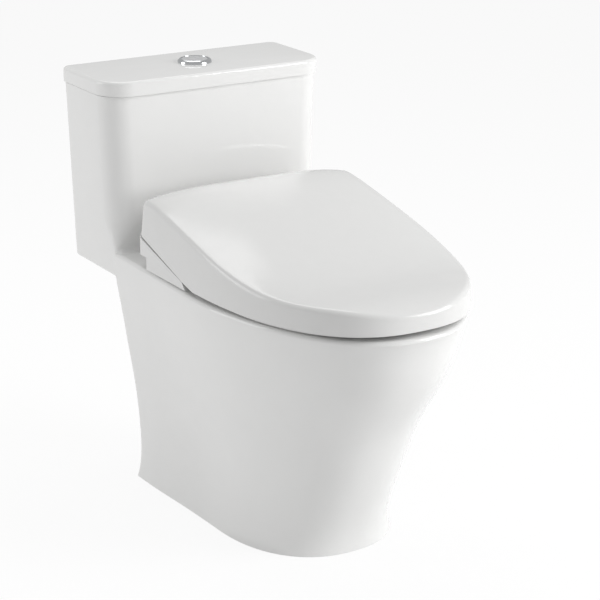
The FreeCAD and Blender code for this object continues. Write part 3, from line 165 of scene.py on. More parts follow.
def glazed_china(colours, sizes):
    """Vitreous china, glazed and fired: near-white clay under clear glass, so it is bright and
    sharply glossy, with slow waves in the surface and hardly any change of colour."""
    made, shader = new_material("glazed_vitreous_china", colours.glaze, 0.075, ior=1.52)
    place = add_node(made, "ShaderNodeTexCoord")
    waves = add_node(
        made, "ShaderNodeTexNoise", {"Scale": 1 / sizes.glaze_ripple, "Detail": 1.5, "Roughness": 0.45},
        {"Vector": place.outputs["Object"]},
    )
    bump = add_node(
        made, "ShaderNodeBump", {"Strength": 0.16, "Distance": 0.0012}, {"Height": waves.outputs["Fac"]}
    )
    made.node_tree.links.new(bump.outputs["Normal"], shader.inputs["Normal"])
    # The glaze is a shade lighter where it pools, over some 80 mm.
    pools = add_node(
        made, "ShaderNodeTexNoise", {"Scale": 1 / GLAZE_POOL, "Detail": 2.0},
        {"Vector": place.outputs["Object"]},
    )
    tones = add_node(
        made, "ShaderNodeMix",
        {"data_type": "RGBA", 6: shade(colours.glaze, 1.012), 7: shade(colours.glaze, 0.982)},
        {"Factor": pools.outputs["Fac"]},
    )
    made.node_tree.links.new(tones.outputs[2], shader.inputs["Base Color"])
    # Pin-fine unevenness of the glass, drawn at 3 mm so that it shows at all.
    pins = add_node(
        made, "ShaderNodeTexNoise", {"Scale": 1 / GLAZE_PIN, "Detail": 1.0},
        {"Vector": place.outputs["Object"]},
    )
    spread = add_node(
        made, "ShaderNodeMapRange", {"To Min": 0.055, "To Max": 0.105}, {"Value": pins.outputs["Fac"]}
    )
    made.node_tree.links.new(spread.outputs["Result"], shader.inputs["Roughness"])
    return made


def gloss_plastic(name, base, roughness):
    """Injection-moulded polypropylene or ABS from a polished tool: a clean gloss a little softer
    than glass, with the faint orange peel of the moulding."""
    made, shader = new_material(name, base, roughness, ior=1.49)
    place = add_node(made, "ShaderNodeTexCoord")
    peel = add_node(
        made, "ShaderNodeTexNoise", {"Scale": 1 / MOULD_PEEL, "Detail": 2.0},
        {"Vector": place.outputs["Object"]},
    )
    bump = add_node(
        made, "ShaderNodeBump", {"Strength": 0.12, "Distance": 0.0004}, {"Height": peel.outputs["Fac"]}
    )
    made.node_tree.links.new(bump.outputs["Normal"], shader.inputs["Normal"])
    tones = add_node(
        made, "ShaderNodeMix", {"data_type": "RGBA", 6: shade(base, 1.01), 7: shade(base, 0.985)},
        {"Factor": peel.outputs["Fac"]},
    )
    made.node_tree.links.new(tones.outputs[2], shader.inputs["Base Color"])
    spread = add_node(
        made, "ShaderNodeMapRange", {"To Min": roughness * 0.8, "To Max": roughness * 1.25},
        {"Value": peel.outputs["Fac"]},
    )
    made.node_tree.links.new(spread.outputs["Result"], shader.inputs["Roughness"])
    return made


def grained_plastic(name, base, roughness):
    """Moulded polypropylene or acetal from a spark-eroded tool: a fine even grain, satin."""
    made, shader = new_material(name, base, roughness, ior=1.49)
    place = add_node(made, "ShaderNodeTexCoord")
    grains = add_node(
        made, "ShaderNodeTexNoise", {"Scale": 1 / MOULD_GRAIN, "Detail": 2.0, "Roughness": 0.6},
        {"Vector": place.outputs["Object"]},
    )
    bump = add_node(
        made, "ShaderNodeBump", {"Strength": 0.25, "Distance": 0.00008}, {"Height": grains.outputs["Fac"]}
    )
    made.node_tree.links.new(bump.outputs["Normal"], shader.inputs["Normal"])
    flow = add_node(
        made, "ShaderNodeTexNoise", {"Scale": 1 / MOULD_FLOW, "Detail": 3.0},
        {"Vector": place.outputs["Object"]},
    )
    tones = add_node(
        made, "ShaderNodeMix", {"data_type": "RGBA", 6: shade(base, 1.03), 7: shade(base, 0.94)},
        {"Factor": flow.outputs["Fac"]},
    )
    made.node_tree.links.new(tones.outputs[2], shader.inputs["Base Color"])
    return made


def moulded_rubber(name, base, roughness):
    """Vulcanised rubber: dull, with a fine bloom that pales it in patches."""
    made, shader = new_material(name, base, roughness, ior=1.52)
    place = add_node(made, "ShaderNodeTexCoord")
    bloom = add_node(
        made, "ShaderNodeTexNoise", {"Scale": 1 / RUBBER_BLOOM, "Detail": 4.0},
        {"Vector": place.outputs["Object"]},
    )
    tones = add_node(
        made, "ShaderNodeMix", {"data_type": "RGBA", 6: shade(base, 0.85), 7: shade(base, 1.25)},
        {"Factor": bloom.outputs["Fac"]},
    )
    made.node_tree.links.new(tones.outputs[2], shader.inputs["Base Color"])
    grain = add_node(
        made, "ShaderNodeTexNoise", {"Scale": 1 / RUBBER_GRAIN, "Detail": 1.0},
        {"Vector": place.outputs["Object"]},
    )
    bump = add_node(
        made, "ShaderNodeBump", {"Strength": 0.3, "Distance": 0.00008}, {"Height": grain.outputs["Fac"]}
    )
    made.node_tree.links.new(bump.outputs["Normal"], shader.inputs["Normal"])
    return made


def plated_metal(name, base, roughness):
    """Chromium plate over plastic, bright or satin by its roughness, with faint polishing marks."""
    made, shader = new_material(name, base, roughness, metallic=1.0)
    place = add_node(made, "ShaderNodeTexCoord")
    smear = add_node(
        made, "ShaderNodeTexNoise", {"Scale": 1 / POLISH_SMEAR, "Detail": 3.0},
        {"Vector": place.outputs["Object"]},
    )
    spread = add_node(
        made, "ShaderNodeMapRange", {"To Min": roughness * 0.7, "To Max": roughness * 1.6},
        {"Value": smear.outputs["Fac"]},
    )
    made.node_tree.links.new(spread.outputs["Result"], shader.inputs["Roughness"])
    return made


def brushed_metal(name, base, roughness):
    """Turned or drawn metal: fine lines along the bar, drawn at 0.4 mm so that they show."""
    made, shader = new_material(name, base, roughness, metallic=1.0)
    place = add_node(made, "ShaderNodeTexCoord")
    stretched = add_node(
        made, "ShaderNodeMapping", {"Scale": (0.06, 1.0, 1.0)}, {"Vector": place.outputs["Object"]}
    )
    lines = add_node(
        made, "ShaderNodeTexNoise", {"Scale": 1 / TURNED_LINE, "Detail": 2.0},
        {"Vector": stretched.outputs["Vector"]},
    )
    bump = add_node(
        made, "ShaderNodeBump", {"Strength": 0.2, "Distance": 0.00005}, {"Height": lines.outputs["Fac"]}
    )
    made.node_tree.links.new(bump.outputs["Normal"], shader.inputs["Normal"])
    tones = add_node(
        made, "ShaderNodeMix", {"data_type": "RGBA", 6: shade(base, 1.05), 7: shade(base, 0.85)},
        {"Factor": lines.outputs["Fac"]},
    )
    made.node_tree.links.new(tones.outputs[2], shader.inputs["Base Color"])
    return made


def coated_board(colours):
    """Glass-fibre board under green solder mask, with copper runs showing through it."""
    made, shader = new_material("coated_circuit_board", colours.board, 0.3, ior=1.55)
    place = add_node(made, "ShaderNodeTexCoord")
    runs = add_node(
        made, "ShaderNodeTexVoronoi",
        {"feature": "DISTANCE_TO_EDGE", "distance": "EUCLIDEAN", "Scale": 1 / COPPER_RUN},
        {"Vector": place.outputs["Object"]},
    )
    limit = add_node(
        made, "ShaderNodeMapRange", {"From Min": 0.05, "From Max": 0.12}, {"Value": runs.outputs["Distance"]}
    )
    tones = add_node(
        made, "ShaderNodeMix", {"data_type": "RGBA", 6: shade(colours.board, 1.9), 7: colours.board},
        {"Factor": limit.outputs["Result"]},
    )
    made.node_tree.links.new(tones.outputs[2], shader.inputs["Base Color"])
    return made


def make_finishes(colours, sizes):
    """Every finish of the object by its own name."""
    return {
        "glaze": glazed_china(colours, sizes),
        "cover": gloss_plastic("gloss_polypropylene", colours.cover_white, 0.16),
        "unit": gloss_plastic("gloss_abs", shade(colours.cover_white, 0.99), 0.2),
        "fitting": grained_plastic("moulded_acetal", colours.fitting_white, 0.42),
        "plunger": grained_plastic("moulded_acetal_blue", colours.fitting_blue, 0.42),
        "dark": grained_plastic("moulded_abs_dark", shade(colours.rubber, 1.2), 0.5),
        "rubber": moulded_rubber("moulded_epdm_rubber", colours.rubber, 0.62),
        "pad": moulded_rubber("moulded_soft_elastomer", colours.pad_grey, 0.5),
        "chrome": plated_metal("chromium_plated_abs", colours.chrome, 0.12),
        "satin": plated_metal("satin_chromium_plated_abs", colours.satin, 0.32),
        "steel": brushed_metal("drawn_stainless_steel", colours.steel, 0.28),
        "brass": brushed_metal("machined_brass", colours.brass, 0.3),
        "board": coated_board(colours),
        "foil": brushed_metal("rolled_aluminium_foil", colours.foil, 0.35),
    }


FINISH_OF_NODE = {
    "glaze": ["tank_shell", "skirt_and_deck", "bowl_and_trap", "tank_lid"],
    "cover": ["lid_shell", "seat_ring", "seat_pan"],
    "unit": ["unit_tray", "unit_case", "release_button", "nozzle_guide"],
    "fitting": [
        "button_nut", "full_flush_rod", "half_flush_rod", "flush_valve_base", "flush_valve_cage",
        "valve_stem", "fill_valve_body", "fill_valve_cap", "fill_valve_float", "fill_valve_nut",
        "refill_tube", "base_plate", "wing_nut_left", "wing_nut_right", "water_heater", "deodorizer",
        "dryer_duct", "inlet_valve", "nozzle_wand", "nozzle_tip", "drain_plug", "power_gland",
    ],
    "plunger": ["full_plunger", "half_plunger"],
    "dark": ["dryer_fan", "nozzle_motor"],
    "rubber": [
        "outlet_gasket", "flush_valve_gasket", "valve_seal", "fill_valve_gasket", "bolt_bushing_left",
        "bolt_bushing_right",
    ],
    "pad": ["lid_cushions", "seat_buffers", "lid_buffers"],
    "chrome": ["button_bezel"],
    "satin": ["full_flush_button", "half_flush_button"],
    "steel": ["hinge_pin_left", "hinge_pin_right", "mounting_bolt_left", "mounting_bolt_right"],
    "brass": ["water_inlet"],
    "board": ["control_board"],
    "foil": ["seat_heater"],
}

# Each finish by its name: the first operator fills it and the others read it.
finishes = {}

# ------------------------------------------------------------------ places and measures, in metres

# Points nearer than this are one, and an edge sharper than this many degrees gets a bevel.
MERGE = 0.000005
BEVEL_ANGLE = 40.0
# Sides of a turned piece that is seen from close by.
FINE_SIDES = 96

# The tank's foot at the deck's level, and the cove in front of it. Round each corner the cove turns
# by COVE_TURN degrees in steps and thins out to COVE_END of its section.
TANK_HALF_AT_DECK = 0.18166
TANK_CORNER = 0.009
COVE_TURN = 62.0
COVE_STEPS = 8
COVE_END = 0.2
COVE_SINK = (0, 0.0004, -0.0006)
COVE_WALL = 0.0025

# The push button's collar: the radii of its hole and of its neck, and the height of its rim.
COLLAR_BORE = 0.0213
COLLAR_NECK = 0.0237
COLLAR_STAND = 0.006

# The seat's buffers, and how far to the side the front ones sit.
PAD_RADIUS = 0.009
SEAT_FRONT_PAD = 0.07476

# The wand's slope in degrees, the flat of its tip as a share of the radius, and each jet (along, across).
WAND_SLOPE = 25.0
TIP_FLAT = 0.8
JETS = [(0.0060, 0.0), (0.0078, -0.0016), (0.0078, 0.0016), (0.0096, 0.0), (0.0118, 0.0)]

# Radii of the inlet elbow's tube, of the inside of its bend and of its bore.
INLET_STEM = 0.0085
INLET_BEND = 0.0015
INLET_BORE = 0.0052

# The shank under the tank, how far below the nut its thread ends, and the nut with its lobes.
SHANK_RADIUS = 0.01048
SHANK_PLAIN = 0.003
NUT_BORE = 0.0112
LOBES = 8
LOBE_HEIGHT = 0.0016

# The front of the unit's tray between its arms, and the louvred outlets in it.
TRAY_FRONT = 0.030
OUTLET_ACROSS = 0.040
OUTLET_WIDTH = 0.034
SLAT_SPACING = 0.0024

# The release button's ribs, and the hole and the rings of the lead's sleeve.
RIB_SPACING = 0.0025
LEAD_RADIUS = 0.0026
SLEEVE_RINGS = 5

# Seen from the front left and a little above, as the object is usually shown.
CAMERA_PLACE = (-1.5076, -2.4953, 1.3006)
CAMERA_AIM = (0.03465, 0.06004, 0.31524)
SENSOR = 36.0
LENS = 122.7
CAMERA_SHIFT = 0.0242
WORLD_LEVEL = 0.50
FLOOR_GLOW = 0.88
FLOOR_SIZE = 16
FLOOR_GAP = 0.0005

# name, place, what it points at, width, height, power in watts
LAMPS = [
    ("key_lamp", (1.9, -1.9, 1.5), (0.0, -0.1, 0.3), 1.3, 1.7, 52.0),
    ("rear_left_lamp", (-2.2, 1.3, 1.2), (0.0, 0.0, 0.3), 1.2, 1.6, 15.0),
    ("top_lamp", (0.2, 1.0, 2.5), (0.0, 0.2, 0.5), 1.4, 1.4, 12.0),
]

# ------------------------------------------------------------------ modelling by hand


def choose(piece, wanted):
    """In edit mode, selects the faces whose centre and outward direction pass the test."""
    bpy.ops.mesh.select_mode(type="FACE")
    bpy.ops.mesh.select_all(action="DESELECT")
    shape = bmesh.from_edit_mesh(piece.data)
    for face in shape.faces:
        face.select_set(bool(wanted(face.calc_center_median(), face.normal)))
    bmesh.update_edit_mesh(piece.data)


def draw_out(rings):
    """Extrudes what is selected through (radius, height) rings about the Z axis."""
    for (radius, height), (wider, higher) in zip(rings, rings[1:]):
        bpy.ops.mesh.extrude_region_move(TRANSFORM_OT_translate={"value": (0, 0, higher - height)})
        if wider != radius:
            bpy.ops.transform.resize(
                value=(wider / radius, wider / radius, 1), center_override=(0, 0, higher)
            )


def turned(name, rings, hollow=False, sides=64):
    """A turned piece about the Z axis, from (radius, height) rings in metres, left in edit mode.

    A solid one is capped at both ends. A hollow one runs round its section and back to its first ring."""
    bpy.ops.object.select_all(action="DESELECT")
    radius, height = rings[0]
    bpy.ops.mesh.primitive_circle_add(
        vertices=sides, radius=radius, location=(0, 0, height), fill_type="NOTHING" if hollow else "NGON"
    )
    piece = bpy.context.active_object
    piece.name = name
    bpy.ops.object.mode_set(mode="EDIT")
    bpy.ops.mesh.select_mode(type="VERT")
    bpy.ops.mesh.select_all(action="SELECT")
    draw_out(rings + rings[:1] if hollow else rings)
    bpy.ops.mesh.select_all(action="SELECT")
    bpy.ops.mesh.remove_doubles(threshold=MERGE)
    bpy.ops.mesh.normals_make_consistent(inside=False)
    return piece


def block(name, centre, size):
    """A box of this size about a centre, left in edit mode."""
    bpy.ops.object.select_all(action="DESELECT")
    bpy.ops.mesh.primitive_cube_add(size=1, location=centre)
    piece = bpy.context.active_object
    piece.name = name
    bpy.ops.object.mode_set(mode="EDIT")
    bpy.ops.transform.resize(value=size, center_override=centre)
    return piece


def settle(piece, place=(0.0, 0.0, 0.0), turn=(0.0, 0.0, 0.0), bevel=0.0):
    """Leaves edit mode, breaks the sharp edges by a bevel and puts the piece's place into its mesh."""
    bpy.ops.object.mode_set(mode="OBJECT")
    bpy.ops.object.transform_apply(location=True, rotation=True, scale=True)
    piece.rotation_euler = turn
    piece.location = place
    bpy.ops.object.transform_apply(location=True, rotation=True, scale=True)
    if bevel:
        broken = piece.modifiers.new("broken_edges", "BEVEL")
        broken.width = bevel
        broken.segments = 3
        broken.limit_method = "ANGLE"
        broken.angle_limit = math.radians(BEVEL_ANGLE)
        bpy.ops.object.modifier_apply(modifier=broken.name)


def copies(piece, shifts):
    """The piece at every one of these shifts, as one piece."""
    made = [piece]
    for shift in shifts[1:]:
        bpy.ops.object.select_all(action="DESELECT")
        piece.select_set(True)
        bpy.context.view_layer.objects.active = piece
        bpy.ops.object.duplicate(linked=False)
        copy = bpy.context.active_object
        copy.location = Vector(shift) - Vector(shifts[0])
        made.append(copy)
    return joined(made)


def joined(pieces):
    """Several pieces as one, with its place in its mesh."""
    bpy.ops.object.select_all(action="DESELECT")
    for item in pieces:
        item.select_set(True)
    bpy.context.view_layer.objects.active = pieces[0]
    bpy.ops.object.transform_apply(location=True, rotation=True, scale=True)
    bpy.ops.object.join()
    return pieces[0]


def finished(piece, body, finish, stands_for=(), smooth=35):
    """Smooths a piece, gives it its finish and says what it rides on and which solids it stands for."""
    bpy.ops.object.select_all(action="DESELECT")
    piece.select_set(True)
    bpy.context.view_layer.objects.active = piece
    bpy.ops.object.shade_smooth_by_angle(angle=math.radians(smooth))
    piece.data.materials.clear()
    piece.data.materials.append(finishes[finish])
    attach(piece, body)
    if stands_for:
        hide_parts(*stands_for)


def threaded(crest, depth, pitch, length):
    """The (radius, height) rings of a thread's ridges from its start to its end."""
    count = int(length / pitch)
    rings = []
    for i in range(count):
        at = i * pitch
        rings += [
            (crest - depth, at), (crest - 0.1 * depth, at + 0.4 * pitch),
            (crest - 0.1 * depth, at + 0.6 * pitch),
        ]
    rings.append((crest - depth, length))
    return rings


def middle(node):
    """The middle of a solid's box, with its lowest and highest corner."""
    low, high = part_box(node)
    return (Vector(low) + Vector(high)) / 2, Vector(low), Vector(high)


# ------------------------------------------------------------------ operators


class TOILET_OT_finishes(bpy.types.Operator):
    """Gives every solid its finish and smooth shading with crisp edges"""

    bl_idname = "toilet.finishes"
    bl_label = "Finishes"

    def execute(self, context):
        sizes = context.scene.toilet_sizes
        finishes.update(make_finishes(context.scene.toilet_colours, sizes))
        for finish, nodes in FINISH_OF_NODE.items():
            for name in nodes:
                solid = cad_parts[name]
                solid.data.materials.clear()
                solid.data.materials.append(finishes[finish])
                solid.data.polygons.foreach_set("use_smooth", [True] * len(solid.data.polygons))
                weld = solid.modifiers.new("weld", "WELD")
                weld.merge_threshold = sizes.weld
                crisp = solid.modifiers.new("crisp_edges", "EDGE_SPLIT")
                crisp.split_angle = sizes.edge_angle
        return {"FINISHED"}


class TOILET_OT_button(bpy.types.Operator):
    """Makes the chrome collar and the two dished caps of the push button"""

    bl_idname = "toilet.button"
    bl_label = "Push button"

    def execute(self, context):
        dish = context.scene.toilet_sizes.button_dish
        centre, low, high = middle("button_bezel")
        radius = high.x
        under = low.z - high.z
        face = -COLLAR_STAND
        collar = turned("button_collar", [
            (COLLAR_BORE, under), (COLLAR_NECK, under), (COLLAR_NECK, face), (radius, face),
            (radius, face + 0.0010), (radius - 0.0003, face + 0.0022), (radius - 0.0009, face + 0.0035),
            (radius - 0.0018, face + 0.0046), (radius - 0.0029, face + 0.0054), (radius - 0.0040, -0.0001),
            (radius - 0.0047, 0.0), (COLLAR_BORE + 0.0003, -0.0001), (COLLAR_BORE, -0.0008),
        ], hollow=True, sides=FINE_SIDES)
        settle(collar, (centre.x, centre.y, high.z))
        finished(collar, "tank_lid", "chrome", ["button_bezel"], smooth=30)

        for half, body in (("full_flush_button", "full_button"), ("half_flush_button", "half_button")):
            _, low, high = middle(half)
            cap_radius = max(-low.x, high.x)
            cap = turned(half + "_cap", [
                (cap_radius, low.z), (cap_radius, high.z - 0.0016), (cap_radius - 0.0003, high.z - 0.0009),
                (cap_radius - 0.0009, high.z - 0.0003), (cap_radius - 0.0018, high.z),
                (cap_radius - 0.0042, high.z - 0.15 * dish), (cap_radius - 0.0085, high.z - 0.6 * dish),
                (cap_radius - 0.0135, high.z - 0.9 * dish), (0.004, high.z - dish),
            ], sides=FINE_SIDES)
            split = low.x if half.startswith("half") else high.x
            bpy.ops.mesh.select_all(action="SELECT")
            bpy.ops.mesh.bisect(
                plane_co=(split, 0, 0), plane_no=(1, 0, 0), use_fill=True,
                clear_inner=half.startswith("half"), clear_outer=half.startswith("full"),
            )
            settle(cap, (0, centre.y, 0), bevel=0.0004)
            finished(cap, body, "satin", [half], smooth=30)
        return {"FINISHED"}


class TOILET_OT_cove(bpy.types.Operator):
    """Makes the hollow curve of glaze where the tank's front runs into the deck"""

    bl_idname = "toilet.cove"
    bl_label = "Cove of the tank"

    def execute(self, context):
        radius = context.scene.toilet_sizes.cove_radius
        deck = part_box("skirt_and_deck")[1][2]
        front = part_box("tank_shell")[0][1]
        straight = TANK_HALF_AT_DECK - TANK_CORNER
        bpy.ops.object.select_all(action="DESELECT")
        bpy.ops.mesh.primitive_circle_add(
            vertices=48, radius=radius, location=(0, front - radius, deck + radius),
            rotation=(0, math.pi / 2, 0),
        )
        cove = context.active_object
        cove.name = "tank_cove"
        bpy.ops.object.transform_apply(location=True, rotation=True, scale=True)
        bpy.ops.object.mode_set(mode="EDIT")
        bpy.ops.mesh.select_mode(type="VERT")
        bpy.ops.mesh.select_all(action="DESELECT")
        shape = bmesh.from_edit_mesh(cove.data)
        for point in shape.verts:
            point.select_set(point.co.y < front - radius - MERGE or point.co.z > deck + radius + MERGE)
        bmesh.update_edit_mesh(cove.data)
        bpy.ops.mesh.delete(type="VERT")
        bpy.ops.mesh.select_all(action="SELECT")
        # Sunk a little, so that nothing shows between the glaze and the deck's rounded edge.
        bpy.ops.transform.translate(value=COVE_SINK)
        bpy.ops.mesh.extrude_region_move(TRANSFORM_OT_translate={"value": (straight, 0, 0)})
        turn = math.radians(COVE_TURN / COVE_STEPS)
        shrink = COVE_END ** (1 / COVE_STEPS)
        hub = (straight, front + TANK_CORNER, 0)
        for step in range(1, COVE_STEPS + 1):
            bpy.ops.mesh.extrude_region_move(TRANSFORM_OT_translate={"value": (0, 0, 0)})
            bpy.ops.transform.rotate(value=-turn, orient_axis="Z", center_override=hub)
            # The point of the tank's foot that this ring of the cove stands against.
            angle = step * turn
            across = straight + TANK_CORNER * math.sin(angle)
            foot = (across, front + TANK_CORNER * (1 - math.cos(angle)), deck)
            bpy.ops.transform.resize(value=(shrink, shrink, shrink), center_override=foot)
        settle(cove)
        mirror = cove.modifiers.new("other_half", "MIRROR")
        mirror.merge_threshold = MERGE
        bpy.ops.object.modifier_apply(modifier=mirror.name)
        bpy.ops.object.mode_set(mode="EDIT")
        bpy.ops.mesh.select_all(action="SELECT")
        bpy.ops.mesh.normals_make_consistent(inside=False)
        shape = bmesh.from_edit_mesh(cove.data)
        if sum(face.normal.z for face in shape.faces) < 0:
            bpy.ops.mesh.flip_normals()
        bpy.ops.object.mode_set(mode="OBJECT")
        wall = cove.modifiers.new("wall", "SOLIDIFY")
        wall.thickness = COVE_WALL
        wall.offset = -1
        bpy.ops.object.modifier_apply(modifier=wall.name)
        finished(cove, "toilet", "glaze", smooth=40)
        return {"FINISHED"}


class TOILET_OT_buffers(bpy.types.Operator):
    """Makes the domed soft buffers under the seat"""

    bl_idname = "toilet.buffers"
    bl_label = "Buffers"

    def execute(self, context):
        low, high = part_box("seat_buffers")
        tall = high[2] - low[2]
        radius = PAD_RADIUS
        pad = turned("seat_pads", [
            (radius, 0.0), (radius, -0.35 * tall), (radius - 0.0003, -0.5 * tall),
            (radius - 0.0011, -0.67 * tall), (radius - 0.0025, -0.82 * tall), (radius - 0.0045, -0.94 * tall),
            (0.0020, -tall),
        ], sides=48)
        front = low[1] + radius
        rear = high[1] - radius
        side = high[0] - radius
        settle(pad, (side, rear, high[2]))
        spots = [
            (side, rear, 0), (-side, rear, 0), (SEAT_FRONT_PAD, front, 0), (-SEAT_FRONT_PAD, front, 0),
        ]
        pads = copies(pad, spots)
        finished(pads, "seat", "pad", ["seat_buffers"])
        return {"FINISHED"}


class TOILET_OT_nozzle(bpy.types.Operator):
    """Makes the round-nosed spray tip with its jets"""

    bl_idname = "toilet.nozzle"
    bl_label = "Spray tip"

    def execute(self, context):
        _, low, high = middle("nozzle_tip")
        slope = math.radians(WAND_SLOPE)
        radius = high.x
        length = (high.y - low.y - 2 * radius * math.sin(slope)) / math.cos(slope)
        start = Vector((0, low.y + radius * math.sin(slope), low.z + radius * math.cos(slope)))
        tip = turned("spray_tip", [
            (0.0016, 0.0), (0.0036, 0.0002), (0.0050, 0.0009), (0.0060, 0.0020), (radius - 0.0001, 0.0036),
            (radius, 0.0052), (radius, length - 0.0012), (radius - 0.0004, length - 0.0004),
            (radius - 0.0004, length),
        ], sides=48)
        # A flat on the upper side, sunk by a step, in which the jets open.
        bpy.ops.mesh.select_all(action="SELECT")
        bpy.ops.mesh.bisect(
            plane_co=(0, -TIP_FLAT * radius, 0), plane_no=(0, -1, 0), use_fill=True, clear_outer=True
        )
        choose(tip, lambda place, out: out.y < -0.99)
        bpy.ops.mesh.inset(thickness=0.0008, depth=-0.0004)
        settle(tip, bevel=0.0003)
        jets = []
        for along, across in JETS:
            jet = turned("jet", [
                (0.0003, 0.0004), (0.0007, 0.0004), (0.0007, -0.0009), (0.0006, -0.0012), (0.0004, -0.0012),
                (0.0003, -0.0009),
            ], hollow=True, sides=20)
            settle(jet, (across, -TIP_FLAT * radius + 0.0004, along), (math.pi / 2, 0, 0))
            jets.append(jet)
        whole = joined([tip] + jets)
        whole.rotation_euler = (slope - math.pi / 2, 0, 0)
        whole.location = start
        bpy.ops.object.transform_apply(location=True, rotation=True, scale=True)
        finished(whole, "wand", "fitting", ["nozzle_tip"])
        return {"FINISHED"}


class TOILET_OT_inlet(bpy.types.Operator):
    """Makes the brass elbow with its hexagon and its threaded end"""

    bl_idname = "toilet.inlet"
    bl_label = "Water inlet"

    def execute(self, context):
        pitch = context.scene.toilet_sizes.thread_pitch
        low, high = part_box("water_inlet")
        radius = (high[2] - low[2]) / 2
        level = low[2] + radius
        side = low[0] + INLET_STEM
        back = high[1] - radius
        bend = INLET_STEM + INLET_BEND
        bpy.ops.object.select_all(action="DESELECT")
        bpy.ops.mesh.primitive_circle_add(
            vertices=48, radius=INLET_STEM, location=(side, low[1], level), rotation=(math.pi / 2, 0, 0),
            fill_type="NGON",
        )
        elbow = context.active_object
        elbow.name = "inlet_elbow"
        bpy.ops.object.transform_apply(location=True, rotation=True, scale=True)
        bpy.ops.object.mode_set(mode="EDIT")
        straight = back - bend - low[1]
        bpy.ops.mesh.extrude_region_move(TRANSFORM_OT_translate={"value": (0, straight, 0)})
        bpy.ops.mesh.spin(
            steps=12, angle=-math.pi / 2, center=(side + bend, back - bend, level), axis=(0, 0, 1)
        )
        bpy.ops.mesh.select_all(action="SELECT")
        bpy.ops.mesh.remove_doubles(threshold=MERGE)
        bpy.ops.mesh.normals_make_consistent(inside=False)
        settle(elbow)

        hexagon = turned("inlet_hexagon", [
            (INLET_STEM, 0.0), (0.0113, 0.0), (0.0118, 0.0006), (0.0118, 0.0054), (0.0113, 0.0060),
            (INLET_STEM, 0.0060),
        ], sides=6)
        settle(hexagon, (side, low[1] + 0.004, level), (-math.pi / 2, 0, 0), bevel=0.0003)

        start = side + bend
        end = high[0]
        thread = turned("inlet_thread", threaded(radius, 0.0009, pitch, end - start) + [
            (INLET_BORE, end - start), (INLET_BORE, 0.004), (INLET_BORE, 0.0),
        ], hollow=True)
        settle(thread, (start, back, level), (0, math.pi / 2, 0))
        finished(joined([elbow, hexagon, thread]), "seat_unit", "brass", ["water_inlet"])
        return {"FINISHED"}


class TOILET_OT_shank(bpy.types.Operator):
    """Makes the thread and the lobed nut under the tank, where the supply hose goes"""

    bl_idname = "toilet.shank"
    bl_label = "Tank inlet"

    def execute(self, context):
        pitch = context.scene.toilet_sizes.thread_pitch
        centre, low, _ = middle("fill_valve_body")
        nut_middle, nut_low, nut_high = middle("fill_valve_nut")
        length = nut_low.z - SHANK_PLAIN - low.z
        thread = turned("shank_thread", threaded(SHANK_RADIUS + 0.0004, 0.0008, pitch, length) + [
            (0.0060, length), (0.0060, 0.0),
        ], hollow=True)
        settle(thread, (nut_middle.x, centre.y, low.z))
        finished(thread, "toilet", "fitting")

        radius = nut_high.x - nut_middle.x
        tall = nut_high.z - nut_low.z
        nut = turned("shank_nut", [
            (NUT_BORE, 0.0), (radius - 0.004, 0.0), (radius - 0.003, 0.0008), (radius - 0.003, tall - 0.0035),
            (radius, tall - 0.0028), (radius, tall), (NUT_BORE, tall),
        ], hollow=True, sides=FINE_SIDES)

        def lobed(place, out):
            """Whether a face stands upright on the nut's outside and where one of its lobes is."""
            upright = math.hypot(out.x, out.y) > 0.9 and place.xy.length > NUT_BORE + 0.0013
            return upright and math.sin(LOBES * math.atan2(place.y, place.x)) > 0.3

        choose(nut, lobed)
        bpy.ops.mesh.extrude_region_shrink_fatten(TRANSFORM_OT_shrink_fatten={"value": LOBE_HEIGHT})
        settle(nut, (nut_middle.x, nut_middle.y, nut_low.z), bevel=0.0003)
        finished(nut, "toilet", "fitting", ["fill_valve_nut"])
        return {"FINISHED"}


class TOILET_OT_grilles(bpy.types.Operator):
    """Makes the louvred outlets of the dryer and of the deodoriser on the front of the seat unit"""

    bl_idname = "toilet.grilles"
    bl_label = "Louvred outlets"

    def execute(self, context):
        level = middle("unit_tray")[0].z
        for name, across in (("dryer_outlet", OUTLET_ACROSS), ("deodoriser_outlet", -OUTLET_ACROSS)):
            surround = block(name, (across, TRAY_FRONT - 0.0002, level), (OUTLET_WIDTH, 0.0016, 0.013))
            choose(surround, lambda place, out: out.y < -0.9)
            bpy.ops.mesh.inset(thickness=0.0016, depth=0)
            bpy.ops.mesh.extrude_region_move(TRANSFORM_OT_translate={"value": (0, 0.0012, 0)})
            settle(surround, bevel=0.0003)
            lowest = level - 1.5 * SLAT_SPACING
            wide = OUTLET_WIDTH - 0.0036
            slat = block("slat", (across, TRAY_FRONT - 0.0003, lowest), (wide, 0.0011, 0.0008))
            settle(slat, bevel=0.0001)
            slats = copies(slat, [(0, 0, SLAT_SPACING * i) for i in range(4)])
            finished(joined([surround, slats]), "seat_unit", "unit")
        return {"FINISHED"}


